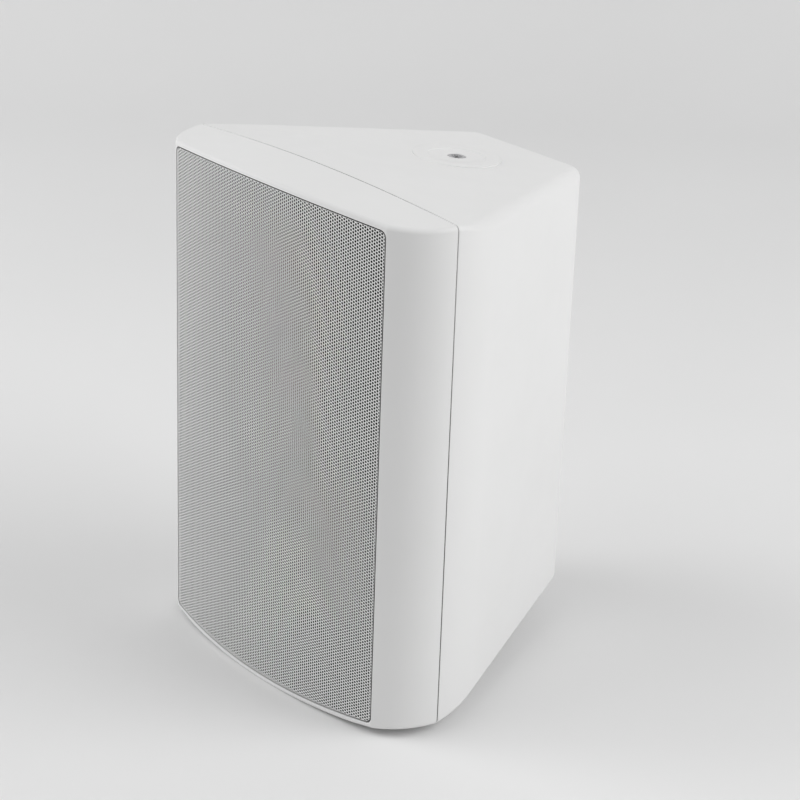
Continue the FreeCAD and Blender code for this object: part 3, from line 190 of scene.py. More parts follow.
# %% Outline of the housing
half_gap = 0.4
seam_edge = 0.25
flank_radius, flank_taper = 85.0, 25.4
back_y, back_corner = 210.7, 16.0
taper = math.radians(flank_taper)
flank_facing = np.array((math.cos(taper), math.sin(taper)))
flank_middle = np.array((half_width - flank_radius, widest_y))
flank_start = flank_middle + flank_radius * flank_facing
foot = flank_middle + (flank_radius - back_corner) * flank_facing
run = (back_y - back_corner - foot[1]) / math.cos(taper)
back_middle = foot + run * np.array((-math.sin(taper), math.cos(taper)))
flank_end = back_middle + back_corner * flank_facing


def seam_angle(y):
    return math.degrees(math.asin((y - widest_y) / cheek_radius))


cup_half_width, cup_half_height, cup_corner, cup_z = 46.22, 34.3, 5.0, -85.0
quarter = np.radians(np.linspace(0, 90, 10))
back_xs = np.concatenate([
    np.linspace(back_middle[0], cup_half_width, 3)[:-1],
    cup_half_width - cup_corner + cup_corner * np.cos(quarter),
    np.linspace(cup_half_width - cup_corner, 0, 10)[1:],
])
back_line = np.stack([back_xs, np.full_like(back_xs, back_y), np.zeros_like(back_xs), np.ones_like(back_xs)], 1)
housing_right = np.vstack([
    along_arc(cheek_middle, cheek_radius, seam_angle(half_gap + seam_edge), 0, 4)[:-1],
    along_arc(flank_middle, flank_radius, 0, flank_taper, 28)[:-1],
    along_line(flank_start, flank_end, flank_facing, 60)[:-1],
    along_arc(back_middle, back_corner, flank_taper, 90, 22)[:-1],
    back_line,
])
flip = np.array((-1, 1, -1, 1))
housing_outline = np.vstack([housing_right, housing_right[-2::-1] * flip])
print("housing outline", len(housing_outline), "points, back flat to", round(back_middle[0], 2), "mm")

# %% [markdown]
# ## Top of the enclosure
#
# At the seam the top is a shallow arc. Behind it the arc fades into a flat slope, and a soft crease runs from each
# corner of the seam towards the bracket pad. A modelled crease would need edge loops that follow it. Giving the
# top as a height over the plan is simpler: the crown is added where it stands above the slope, and a smooth
# maximum rounds the crease.

# %% Height of the top
crown_top, crown_radius, shoulder = 203.1, 1796.0, 157.9


def crown(x):
    return crown_top - crown_radius + np.sqrt(crown_radius ** 2 - np.square(x))


back_top, crown_end, crease_soft = 176.4, 157.0, 0.12
slope_start = float(crown(shoulder))
fall = (slope_start - back_top) / back_y
dip_middle, dip_less, dip_span, housing_dip = 1.15, 0.35, 130.0, 60.0


def seam_dip(x, y, reach):
    """Both mouldings sink a little towards the seam, the more so in the middle."""
    nearness = np.clip(1 - np.abs(y) / reach, 0, 1)
    return (dip_middle - dip_less * np.square(x / dip_span)) * nearness ** 2


def housing_top(x, y):
    above = (crown_top - slope_start) * (np.maximum(1 - y / crown_end, 0) ** 2 - np.square(x / shoulder))
    crowned = (above + np.sqrt(above ** 2 + crease_soft ** 2)) / 2
    return slope_start - fall * y + crowned - seam_dip(x, y, housing_dip)


corner_drop, corner_reach, corner_span = 1.35, 42.0, 125.0


def bezel_top(x, y):
    """The same arc, but its front corners hang a little."""
    ahead_of_seam = np.clip(-np.asarray(y) / corner_reach, 0, 1)
    corners_hang = corner_drop * ahead_of_seam * (2 - ahead_of_seam) * np.square(x / corner_span)
    return crown(x) - corners_hang - seam_dip(x, y, corner_reach)


print("top falls", round(math.degrees(math.atan(fall)), 2), "degrees to the back")

# %% [markdown]
# ## Rounded rims
#
# The edge between wall and top is rounded like a real moulding. A Bevel modifier could do it, but its width
# changes along a sloping edge. Here a ball is rolled along the edge in thought: it touches the wall and the top,
# and the arc between the two touching points is the rim. Behind the seam the ball grows, as the real rim does.


# %% Roll a ball along an edge
def rim(outline, top, radius, steps):
    """Rows of points from the wall, over the rounded edge, to the top."""
    x, y, facing_x, facing_y = outline.T
    height = top(x, y)
    slope = (height - top(x - facing_x * radius, y - facing_y * radius)) / radius
    middle = height - slope * radius - radius * np.sqrt(1 + slope ** 2)
    turn = np.linspace(0, 1, steps + 1)[:, None] * np.arctan2(1, -slope)
    inward = radius * (np.cos(turn) - 1)
    return np.stack([x + facing_x * inward, y + facing_y * inward, middle + radius * np.sin(turn)], -1)


def square_to_seam(outline, reach=12.0):
    """Turns the facing square to the seam close to it, so that a rim ends flat there."""
    turned = outline.copy()
    turned[:, 3] *= np.clip(np.abs(turned[:, 1] - turned[0, 1]) / reach, 0, 1)
    return turned


def eased(share):
    """A share from 0 to 1, with a soft start and a soft end."""
    share = np.clip(share, 0, 1)
    return share ** 2 * (3 - 2 * share)


rim_at_seam, rim_behind, rim_growth = 4.5, 9.0, 45.0
rim_radius = rim_at_seam + (rim_behind - rim_at_seam) * eased(housing_outline[:, 1] / rim_growth)
housing_rim = rim(square_to_seam(housing_outline), housing_top, rim_radius, 12)
below = np.array((1, 1, -1))
print("housing rim", housing_rim.shape, "radius", rim_radius.min().round(2), "to", rim_radius.max().round(2))

# %% [markdown]
# ## Rear housing
#
# Wall, rims, top and bottom of the housing are patches between curves that are known already. The top runs from
# its edge to the round bracket pad along straight spokes, so the pad's edge is truly round. The back wall is cut
# into columns that stop at the opening for the terminal dish.


# %% Housing: rims and side walls
def upright(edge):
    """Rows of points from an upper edge straight down to its mirror image."""
    return [np.column_stack([edge[:, :2], edge[:, 2] * level]) for level in np.linspace(1, -1, 9)]


housing = Skin()
for side in (1, below):
    housing.patch(housing_rim * side)
wall_top = housing_rim[0]
solid_wall = len(housing_right) - len(back_xs) + 3
for part in (slice(0, solid_wall), slice(len(housing_outline) - solid_wall, None)):
    housing.patch(upright(wall_top[part]))
print("wall height at the seam", round(2 * wall_top[0, 2], 2), "mm")


# %% Housing: back wall with the opening
def opening_reach(x, half_wide, half_high, corner):
    """Half the height of an opening with rounded corners, at x."""
    past = np.clip(np.abs(x) - (half_wide - corner), 0, corner)
    return half_high - corner + np.sqrt(corner ** 2 - past ** 2)


back_edge = wall_top[solid_wall - 1:len(housing_outline) - solid_wall + 1]
reach = opening_reach(back_edge[:, 0], cup_half_width, cup_half_height, cup_corner)
upper_lip = np.column_stack([back_edge[:, :2], cup_z + reach])
lower_lip = np.column_stack([back_edge[:, :2], cup_z - reach])
for outer, lip in ((back_edge, upper_lip), (back_edge * below, lower_lip)):
    housing.patch([outer * (1 - t) + lip * t for t in np.linspace(0, 1, 6)])
lip_loop = np.vstack([upper_lip, lower_lip[::-1]])
seat_depth, bore_depth, bore_share = 2.5, 1.5, (0.83, 1, 0.77)
seat = lip_loop - (0, seat_depth, 0)
bore = (seat - (0, 0, cup_z)) * bore_share + (0, 0, cup_z)
bore_end = bore - (0, bore_depth, 0)
housing.patch([lip_loop, seat, bore, bore_end], closed=True)
print("opening", 2 * cup_half_width, "by", 2 * cup_half_height, "mm")

# %% Housing: top, bottom and bracket pads
pad_y, pad_rise = 132.6, 1.1
lean = math.atan(fall)
pad_up = np.array((0, math.sin(lean), math.cos(lean)))
pad_along = np.array((0, math.cos(lean), -math.sin(lean)))
pad_middle = np.array((0, pad_y, slope_start - fall * pad_y)) + pad_rise * pad_up
pad_profile = [
    (34.0, -0.45), (33.94, -0.2), (33.75, -0.06), (33.4, 0.0), (28.0, 0.0), (22.5, 0.0), (22.16, -0.06), (22.0, -0.2),
    (21.9, -0.38), (21.6, -0.5), (14.0, -0.5), (8.0, -0.5), (7.55, -0.56), (7.36, -0.75), (7.3, -1.0), (7.3, -2.3),
]


def pad_ring(radius, height, turn):
    """A ring of points round the middle of the pad, at a height over it."""
    across = np.outer(np.cos(turn), (1, 0, 0)) + np.outer(np.sin(turn), pad_along)
    return pad_middle + radius * across + height * pad_up


def along_seam(edge, top):
    """Points over the top at the seam, from the last end of a rim back to its first."""
    xs = np.linspace(edge[-1, 0], edge[0, 0], 90)[1:-1]
    return np.column_stack([xs, np.full(len(xs), edge[0, 1]), top(xs, edge[0, 1])])


top_edge = housing_rim[-1]
seam_line = along_seam(top_edge, housing_top)
top_loop = np.vstack([top_edge, seam_line])
turn = np.arctan2(top_loop[:, 1] - pad_y, top_loop[:, 0])
pad_edge = pad_ring(pad_profile[0][0], -pad_rise, turn)
spokes = [top_loop]
for t in np.linspace(0, 1, 37)[1:]:
    ring = top_loop * (1 - t) + pad_edge * t
    ring[:, 2] = housing_top(ring[:, 0], ring[:, 1])
    spokes.append(ring)
spokes += [pad_ring(radius, height, turn) for radius, height in pad_profile]
for side in (1, below):
    housing.patch(np.array(spokes) * side, closed=True)
print("bracket pad", len(turn), "points round, middle at", pad_middle.round(2))


# %% Housing: lip at the seam and inner wall
half_height, wall_thickness = 200.0, 4.0
edge_break, rebate_inset, rebate_depth = 0.08, 1.7, 8.0


def section_loop(edge_rim, line):
    """The edge of a moulding at the seam: up its right side, over the top, and down its left side."""
    right_side = edge_rim[:, 0]
    left_side = edge_rim[::-1, -1]
    return np.vstack([
        right_side[::-1] * below, right_side, line, left_side, left_side[::-1] * below, line[::-1] * below,
    ])


def drawn_in(loop, inset, y):
    """The same edge, moved inwards all round and laid at y."""
    smaller = loop * np.stack(np.broadcast_arrays(1 - inset / half_width, 1, 1 - inset / half_height), -1)
    smaller[:, 1] = y
    return smaller


housing_edge = section_loop(housing_rim, seam_line[::-1])
rebate = [
    (edge_break, half_gap + edge_break), (seam_edge, half_gap), (rebate_inset, half_gap), (rebate_inset, rebate_depth),
    (wall_thickness, rebate_depth),
]
housing.patch([housing_edge] + [drawn_in(housing_edge, inset, y) for inset, y in rebate], closed=True)
rebate_end = int(np.argmax(housing_outline[:, 1] > rebate_depth))
inner = housing_outline[:, :2] - wall_thickness * housing_outline[:, 2:]
inner = np.column_stack([inner, housing_top(inner[:, 0], inner[:, 1]) - wall_thickness])
for part in (slice(rebate_end, solid_wall), slice(len(inner) - solid_wall, len(inner) - rebate_end)):
    housing.patch(upright(inner[part]))
inner_back = inner[solid_wall - 1:len(inner) - solid_wall + 1]
housing.patch([np.vstack([inner_back, (inner_back * below)[::-1]]), bore_end], closed=True)
half = (len(inner) + 1) // 2
across = np.linspace(0, 1, 13)[:, None, None]
ladder = inner[rebate_end:half, :2] * (1 - across) + inner[::-1][rebate_end:half, :2] * across
ceiling = np.dstack([ladder, housing_top(ladder[..., 0], ladder[..., 1]) - wall_thickness])
for side in (1, below):
    housing.patch(ceiling * side)
rear_shell = housing.piece("rear_shell")

# %% [markdown]
# ## Threaded inserts
#
# A bolt through the wall bracket screws into a steel insert in the middle of each pad. The insert is turned: a
# flange with a broken edge, and a bore that is countersunk and tapped. The thread could be a bump, but a bore is
# looked into at a slant, so it is modelled: the radius of each ring of points follows a screw line that climbs
# once in every pitch.

# %% Inserts: flange and thread
core_radius, thread_depth, thread_pitch = 3.4, 0.6, 1.25
thread_start, thread_end, bore_floor = -1.4, -16.5, -16.8
insert_turn = np.radians(np.arange(0, 360, 7.5))
insert_profile = [
    (6.5, -18.8), (6.5, -2.3), (7.26, -2.3), (7.26, -1.08), (7.18, -0.9), (7.0, -0.82), (6.7, -0.8), (4.75, -0.8),
    (4.6, -0.84), (4.05, -1.35),
]
insert_rings = [pad_ring(radius, height, insert_turn) for radius, height in insert_profile]
for height in np.arange(thread_start, thread_end, -thread_pitch / 8):
    climb = (height / thread_pitch - insert_turn / (2 * math.pi)) % 1
    thread = core_radius + thread_depth * np.clip(1.15 - np.abs(4 * climb - 2), 0, 1)
    insert_rings.append(pad_ring(thread[:, None], height, insert_turn))
insert_rings += [pad_ring(radius, bore_floor, insert_turn) for radius in (core_radius, 0.0)]
insert_top = closed_piece("threaded_insert_top", insert_rings)
insert_bottom = closed_piece("threaded_insert_bottom", np.array(insert_rings) * below)

# %% [markdown]
# ## Front bezel
#
# The bezel is made in the same way: cheeks and front are one outline, with a small rounding where they meet, and
# the rim over the grille is tighter than the rims along the cheeks. The front wall is almost all opening, so only
# a narrow lip is left beside the grille and a slightly wider one above and below it. The recess behind the lip is
# deep, which is why the gap round the grille looks black.

# %% Outline of the bezel
kink = 0.6
cheek_turn = math.degrees(math.atan2(corner_y - cheek_middle[1], corner_x - cheek_middle[0]))
front_turn = math.degrees(math.atan2(corner_y - front_middle[1], corner_x - front_middle[0]))
opening_half, opening_corner = 120.55, 4.9
lip_height, lip_growth, lip_span = 4.1, 1.25, 105.0
arc_xs = opening_half - opening_corner + opening_corner * np.cos(quarter)
front_xs = np.concatenate([
    np.linspace(corner_x - 0.1, opening_half, 3)[:-1], arc_xs, np.linspace(opening_half - opening_corner, 0, 40)[1:],
])


def front_y(x):
    return front_middle[1] - np.sqrt(front_radius ** 2 - np.square(x))


def opening_top(x):
    """Height of the opening's upper edge: the lip above it is narrowest in the middle."""
    return crown(x) - lip_height - lip_growth * np.square(np.asarray(x) / lip_span)


front_facing = np.stack([front_xs, front_y(front_xs) - front_middle[1]], 1) / front_radius
front_line = np.column_stack([front_xs, front_y(front_xs), front_facing])
cheek_arc = along_arc(cheek_middle, cheek_radius, seam_angle(-half_gap - seam_edge), cheek_turn + kink, 40)
bezel_right = np.vstack([cheek_arc, front_line])
bezel_outline = np.vstack([bezel_right, bezel_right[-2::-1] * flip])
cheek_rim, front_rim, rim_change_start, rim_change = 4.0, 2.2, 100.0, 20.0
towards_cheek = (np.abs(bezel_outline[:, 0]) - rim_change_start) / rim_change
bezel_radius = front_rim + (cheek_rim - front_rim) * eased(towards_cheek)
bezel_rim = rim(square_to_seam(bezel_outline), bezel_top, bezel_radius, 10)
print("bezel outline", len(bezel_outline), "points, kink", round(front_turn - cheek_turn, 1), "degrees")

# %% Bezel: rims, cheeks and top
bezel = Skin()
cheek_points = len(cheek_arc) + 3
bezel_wall = bezel_rim[0]
for side in (1, below):
    bezel.patch(bezel_rim * side)
    edge = bezel_rim[-1]
    at_seam = np.column_stack([edge[:, 0], np.full(len(edge), edge[0, 1]), bezel_top(edge[:, 0], edge[0, 1])])
    bezel.patch(np.array([edge * (1 - t) + at_seam * t for t in np.linspace(0, 1, 8)]) * side)
for part in (slice(0, cheek_points), slice(len(bezel_outline) - cheek_points, None)):
    bezel.patch(upright(bezel_wall[part]))
print("bezel wall at the seam", round(2 * bezel_wall[0, 2], 2), "mm")

# %% Bezel: lip and recess
recess_half_height, lip_depth, recess_depth, ledge_width, ledge_end = 193.0, 0.4, 8.3, 4.0, 15.0
lip_edge = bezel_wall[cheek_points - 1:len(bezel_outline) - cheek_points + 1]
lip_z = opening_reach(lip_edge[:, 0], opening_half, opening_top(lip_edge[:, 0]), opening_corner)
upper_lip = np.column_stack([lip_edge[:, :2], lip_z])
for side in (1, below):
    bezel.patch(np.array([lip_edge, (lip_edge + upper_lip) / 2, upper_lip]) * side)
recess_loop = np.vstack([upper_lip, (upper_lip * below)[::-1]])


def sunk(loop, inset, depth):
    """The opening's edge, drawn in all round and moved back along Y."""
    return loop * (1 - inset / opening_half, 1, 1 - inset / recess_half_height) + (0, depth, 0)


recess = [(0.0, lip_depth), (0.0, recess_depth), (ledge_width, recess_depth), (ledge_width, ledge_end)]
bezel.patch([recess_loop] + [sunk(recess_loop, inset, depth) for inset, depth in recess], closed=True)
print("lip beside the grille", round(corner_x - opening_half, 2), "mm")

# %% Bezel: tongue at the seam
tongue_inset, tongue_end, tongue_root = 2.0, 6.0, -12.0
bezel_edge = section_loop(bezel_rim, along_seam(bezel_rim[-1], bezel_top)[::-1])
tongue = [
    (edge_break, -half_gap - edge_break), (seam_edge, -half_gap), (tongue_inset, -half_gap), (tongue_inset, tongue_end),
    (wall_thickness, tongue_end), (wall_thickness, tongue_root),
]
bezel.patch([bezel_edge] + [drawn_in(bezel_edge, inset, y) for inset, y in tongue], closed=True)
front_shell = bezel.piece("front_shell")

# %% [markdown]
# ## Painted shade in the seam
#
# A black rubber edge lies on the tongue, just under the surface of the seam. It is painted shade: it makes the seam as
# dark a line as the shade in the narrow gap makes it. At the corners the line is fainter, so there the edge is set
# deeper. A dark line in the finish would do for one picture, but a real edge stays a line from every side.

# %% Seal: black edge in the seam, as painted shade
point_spacing, side_end = 10.0, 196.0
seal_line = np.vstack([
    np.linspace(here, there, 2 + int(np.linalg.norm(there - here) // point_spacing))[:-1]
    for here, there in zip(bezel_edge, np.roll(bezel_edge, -1, 0))
])
# Depths along the seam follow how dark its shade is, so the black edge is painted shade.
top_xs, top_depths = (-130, -100, -60, 30, 60, 90, 120, 132), (0.45, 0.4, 0.31, 0.26, 0.29, 0.39, 0.5, 0.9)
side_zs, side_depths = (-200, -140, -60, -20, 80, 140, 185), (0.4, 0.33, 0.28, 0.37, 0.55, 0.75, 0.9)
shade_seal_depth = np.where(
    np.abs(seal_line[:, 2]) > side_end,
    np.interp(seal_line[:, 0], top_xs, top_depths), np.interp(seal_line[:, 2], side_zs, side_depths),
)
seal_section = [(1.9, -half_gap), (shade_seal_depth, -half_gap), (shade_seal_depth, half_gap), (1.6, half_gap)]
seam_shade_piece = closed_piece("black_seam_shade", [drawn_in(seal_line, inset, y) for inset, y in seal_section])

# %% [markdown]
# ## Perforated grille
#
# The grille is a steel sheet with some eighteen thousand round holes in staggered columns. A bump or a see-through
# texture would be lighter, but the holes are the main thing to see on the front, and from the side their walls
# hide the black behind them. So each hole is real. The sheet is cut in thought into six-sided cells, one round
# each hole. A cell is a flat ring, from its six corners to the hole's eight, and a short wall through the sheet.

# %% Grille: columns of cells
pitch, column_step = 2.48, 2.11
hole_radius = 1.03
sheet_thickness = 0.42
side_gap, top_gap, sheet_sink, sheet_shift = 0.85, 1.1, 0.4, -0.4
sheet_radius = front_radius - sheet_sink
sheet_half, sheet_corner, sheet_bend = opening_half - side_gap, 4.0, 0.15


def unrolled(x):
    return sheet_radius * np.arcsin(x / sheet_radius)


def rolled(s, z, depth):
    """A point of the flat sheet, laid on the curve of the front. The sheet sits a little to the left."""
    turn = (s + sheet_shift) / sheet_radius
    deep = sheet_radius - depth
    return np.stack([deep * np.sin(turn), front_middle[1] - deep * np.cos(turn), z + 0 * s], -1)


face_half = unrolled(sheet_half) - sheet_bend
face_corner = sheet_corner - sheet_bend


def face_top(s):
    """Height of the upper edge of the sheet's flat part."""
    return opening_top(s) - top_gap - sheet_bend


def to_edge(s, z):
    """Distance to the edge of the flat part of the sheet, more than 0 inside."""
    beside = face_half - np.abs(s)
    above = face_top(s) - np.abs(z)
    round_off = np.hypot(np.maximum(face_corner - beside, 0), np.maximum(face_corner - above, 0))
    in_corner = (beside < face_corner) & (above < face_corner)
    return np.where(in_corner, face_corner - round_off, np.minimum(beside, above))


most_columns, most_rows, overhang = 60, 90, 0.7
column, row = (grid.ravel() for grid in np.meshgrid(
    np.arange(-most_columns, most_columns + 1), np.arange(-most_rows, most_rows + 1), indexing="ij",
))
level = 2 * row + column % 2
kept = to_edge(column * column_step, level * pitch / 2) > -overhang
column, level = column[kept], level[kept]
print("holes", len(column))

# %% Grille: corners of the cells, and the holes
corner_steps = np.array([(2, 0), (1, 1), (-1, 1), (-2, 0), (-1, -1), (1, -1)])
corner_key = np.stack([3 * column, level], 1)[:, None, :] + corner_steps
_, where, used = np.unique(corner_key.reshape(-1, 2), axis=0, return_inverse=True, return_counts=True)
at_border = used[where.reshape(corner_key.shape[:2])] < 3
corner_s = corner_key[..., 0] * column_step / 3
corner_z = corner_key[..., 1] * pitch / 2


def onto_edge(s, z):
    """Moves points to the edge of the sheet's flat part."""
    step, least_slope = 0.01, 0.2
    for _ in range(6):
        gap = to_edge(s, z)
        slope_s = (to_edge(s + step, z) - to_edge(s - step, z)) / (2 * step)
        slope_z = (to_edge(s, z + step) - to_edge(s, z - step)) / (2 * step)
        size = np.maximum(slope_s ** 2 + slope_z ** 2, least_slope)
        s, z = s - gap * slope_s / size, z - gap * slope_z / size
    return s, z


corner_s[at_border], corner_z[at_border] = onto_edge(corner_s[at_border], corner_z[at_border])
hole_turn = np.radians(np.arange(8) * 45.0)
hole_s = (column * column_step)[:, None] + hole_radius * np.cos(hole_turn)
hole_z = (level * pitch / 2)[:, None] + hole_radius * np.sin(hole_turn)
edge_web, pull_back = 0.06, 0.05
too_far = to_edge(hole_s, hole_z) < edge_web
pulled_s, pulled_z = onto_edge(hole_s[too_far], hole_z[too_far])
centre_s = np.broadcast_to((column * column_step)[:, None], hole_s.shape)[too_far]
centre_z = np.broadcast_to((level * pitch / 2)[:, None], hole_z.shape)[too_far]
hole_s[too_far] = pulled_s + pull_back * (centre_s - pulled_s)
hole_z[too_far] = pulled_z + pull_back * (centre_z - pulled_z)
print("holes cut by the edge", int(too_far.any(1).sum()))

# %% Grille: one cell's faces
ring_turns = [(index * 60.0, index) for index in range(6)] + [(index * 45.0 + 0.01, 6 + index) for index in range(8)]
cell_ring, last_corner, last_hole = [], 5, 13
for _, index in sorted(ring_turns):
    cell_ring.append((last_corner, index, last_hole))
    if index < 6:
        last_corner = index
    else:
        last_hole = index
cell_wall = [(6 + k, 6 + (k + 1) % 8, 14 + (k + 1) % 8, 14 + k) for k in range(8)]
print("faces in a cell", len(cell_ring), "and", len(cell_wall))


# %% Grille: panels of cells
def grille_panel(name, chosen):
    face_points = rolled(np.hstack([corner_s, hole_s])[chosen], np.hstack([corner_z, hole_z])[chosen], 0.0)
    wall_points = rolled(hole_s[chosen], hole_z[chosen], sheet_thickness)
    points = np.concatenate([face_points, wall_points], 1)
    start = points.shape[1] * np.arange(len(points))[:, None, None]
    rings = (np.array(cell_ring) + start).reshape(-1, 3)
    walls = (np.array(cell_wall) + start).reshape(-1, 4)
    mesh = bpy.data.meshes.new(name)
    places = (points.reshape(-1, 3) + (0, seam_y, 0)) / 1000
    mesh.from_pydata(places.tolist(), [], rings.tolist() + walls.tolist())
    mesh.shade_smooth()
    mesh.set_sharp_from_angle(angle=math.radians(25))
    panel = bpy.data.objects.new(name, mesh)
    scene.collection.objects.link(panel)
    print(name, len(points), "holes,", len(rings) + 2 * len(walls), "triangles")
    return panel


panel_ends = (-61, -30, -1, 28, 61)
grille_panels = [
    grille_panel(f"grille_panel_{number}", (column > low) & (column <= high))
    for number, (low, high) in enumerate(zip(panel_ends, panel_ends[1:]), 1)
]

# %% [markdown]
# ## Bent edge of the grille
#
# All round, the sheet is bent back into the recess over a tight radius. One loop of points along the edge is
# pushed through a quarter turn and then straight back.

# %% Grille: bent edge
side_top = float(face_top(face_half)) - face_corner
top_s = np.linspace(face_half - face_corner, 0, 60)
corner_turn = np.linspace(0, math.pi / 2, 9)[1:-1]
edge_s = np.concatenate([
    np.full(40, face_half), face_half - face_corner + face_corner * np.cos(corner_turn), top_s,
])
edge_z = np.concatenate([
    np.linspace(0, side_top, 40), side_top + face_corner * np.sin(corner_turn), face_top(top_s),
])
edge_s = np.concatenate([edge_s, -edge_s[-2::-1]])
edge_z = np.concatenate([edge_z, edge_z[-2::-1]])
edge_s, edge_z = np.concatenate([edge_s, edge_s[-2:0:-1]]), np.concatenate([edge_z, -edge_z[-2:0:-1]])
ahead = np.stack([np.roll(edge_s, -1) - np.roll(edge_s, 1), np.roll(edge_z, -1) - np.roll(edge_z, 1)], 1)
ahead /= np.linalg.norm(ahead, axis=1)[:, None]
out_s, out_z = ahead[:, 1], -ahead[:, 0]


def edge_row(out, depth):
    """The loop along the edge, moved outwards and back."""
    return rolled(edge_s + out * out_s, edge_z + out * out_z, depth)


flange_depth, tuck_depth = 8.0, 0.02
bent = [edge_row(-edge_web, tuck_depth), edge_row(0.0, 0.0)]
for turn_now in np.linspace(0, math.pi / 2, 6)[1:]:
    bent.append(edge_row(sheet_bend * math.sin(turn_now), sheet_bend * (1 - math.cos(turn_now))))
grille_edge = closed_piece("grille_edge", bent + [edge_row(sheet_bend, flange_depth)])

# %% [markdown]
# ## Black tape as painted shade
#
# The sheet's bent edge is wrapped in thin black foam tape. It is painted shade: it stands for the shade deep in the gap
# round the grille. From outside the tape is only seen as the black line round the grille. The line could be painted on
# the moulding, but then it would not get thinner and wider as one walks past it.

# %% Grille: black tape round the bent edge, as painted shade
tape_thickness, tape_start, tape_end, tape_slant = 0.12, 0.2, 7.9, 0.1
tape = [
    (0.0, tape_start), (tape_thickness, tape_start + tape_slant),
    (tape_thickness, tape_end - tape_slant), (0.0, tape_end),
]
shade_tape = closed_piece("grille_shade_tape", [edge_row(sheet_bend + out, depth) for out, depth in tape])

# %% [markdown]
# ## Spring levers of the terminals
#
# In the dish at the back are two sprung levers, red and black. A finger presses one in to let a bare wire into its
# hole. Such a lever is a moulded slip with a thick knuckle at its pin, a few ridges for the finger and no sharp
# edge. A bevelled box would miss the ridges, so its side view is drawn as one closed line and carried across the
# lever's width. Near both ends the line is drawn in a little, and that rounds the edges.

# %% Levers: side view
lever_tilt, lever_pivot = math.radians(16.0), np.array((0.0, 193.2, -78.5))
lever_half, lever_thick, knuckle_radius = 8.56, 2.0, 2.8
ridge_zs = np.linspace(-15.0, -2.6, 63)
grip_z, grip_half, ridge_height, ridge_step, ridge_sharpness = -10.4, 4.25, 0.4, 1.7, 0.7
on_grip = np.abs(ridge_zs - grip_z) < grip_half
wave = np.maximum(np.cos((ridge_zs - grip_z) * 2 * math.pi / ridge_step), 0) ** ridge_sharpness
ridges = lever_thick + ridge_height * on_grip * wave
knuckle_turn = np.radians(np.linspace(-44.4, 44.4, 15))
knuckle = knuckle_radius * np.stack([np.cos(knuckle_turn), np.sin(knuckle_turn)], 1)
tip = np.array([(1.8, 2.55), (1.3, 2.9), (0.7, 3.0), (-0.7, 3.0), (-1.3, 2.9), (-1.8, 2.55)])
foot_end = np.array([(-2.0, -15.0), (-1.72, -15.7), (-1.0, -16.0), (1.0, -16.0), (1.72, -15.7)])
lever_line = np.vstack([
    np.stack([ridges, ridge_zs], 1), knuckle, tip, -knuckle, [(-2.0, -2.6), (-2.0, -8.0)], foot_end,
])
tangent = np.roll(lever_line, -1, 0) - np.roll(lever_line, 1, 0)
lever_out = np.stack([tangent[:, 1], -tangent[:, 0]], 1) / np.linalg.norm(tangent, axis=1)[:, None]
print("lever outline", len(lever_line), "points")


# %% Levers: carried across the width
def spring_lever(name, node):
    middle_x = 500 * (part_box(node)[0].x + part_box(node)[1].x)
    stations = [(-lever_half, 0.45), (0.12 - lever_half, 0.18), (0.5 - lever_half, 0.0)]
    stations += [(-x, inset) for x, inset in reversed(stations)]
    rings = []
    for x, inset in stations:
        line = lever_line - inset * lever_out
        y = line[:, 0] * math.cos(lever_tilt) - line[:, 1] * math.sin(lever_tilt)
        z = line[:, 0] * math.sin(lever_tilt) + line[:, 1] * math.cos(lever_tilt)
        rings.append(lever_pivot + np.stack([np.full(len(line), middle_x + x), y, z], 1))
    first_cap, last_cap = (np.tile(ring.mean(0), (len(ring), 1)) for ring in (rings[0], rings[-1]))
    return closed_piece(name, [first_cap, *rings, last_cap], crease=40)


lever_red = spring_lever("red_spring_lever", "terminal_lever_red")
lever_black = spring_lever("black_spring_lever", "terminal_lever_black")

# %% [markdown]
# ## Finishes
#
# Every finish is a few nodes: a noise that makes the colour vary slightly, a second one that makes the gloss
# uneven, and a fine one that roughens the surface through Bump. Their coordinates come from the object, so the
# grain stays on the speaker when the camera moves. What is the same all over is set on the shader itself.


# %% Helpers for finishes
def new_finish(name, **sockets):
    finish = bpy.data.materials.new(name)
    finish.use_nodes = True
    shader = finish.node_tree.nodes["Principled BSDF"]
    for socket, value in sockets.items():
        shader.inputs[socket.replace("_", " ").title().replace("Ior", "IOR")].default_value = value
    return finish


def grain(finish, scale, detail=2.0):
    """A noise over the object's own coordinates, in cells per metre."""
    nodes, links = finish.node_tree.nodes, finish.node_tree.links
    place = nodes.new("ShaderNodeTexCoord")
    noise = nodes.new("ShaderNodeTexNoise")
    noise.inputs["Scale"].default_value = scale
    noise.inputs["Detail"].default_value = detail
    links.new(place.outputs["Object"], noise.inputs["Vector"])
    return noise


def tint(finish, scale, first, second):
    nodes, links = finish.node_tree.nodes, finish.node_tree.links
    ramp = nodes.new("ShaderNodeValToRGB")
    ramp.color_ramp.elements[0].position, ramp.color_ramp.elements[1].position = 0.3, 0.7
    ramp.color_ramp.elements[0].color = (*first, 1)
    ramp.color_ramp.elements[1].color = (*second, 1)
    links.new(grain(finish, scale).outputs["Fac"], ramp.inputs["Fac"])
    links.new(ramp.outputs["Color"], nodes["Principled BSDF"].inputs["Base Color"])


def gloss(finish, scale, low, high):
    nodes, links = finish.node_tree.nodes, finish.node_tree.links
    spread = nodes.new("ShaderNodeMapRange")
    spread.inputs["From Min"].default_value, spread.inputs["From Max"].default_value = 0.3, 0.7
    spread.inputs["To Min"].default_value, spread.inputs["To Max"].default_value = low, high
    links.new(grain(finish, scale).outputs["Fac"], spread.inputs["Value"])
    links.new(spread.outputs["Result"], nodes["Principled BSDF"].inputs["Roughness"])


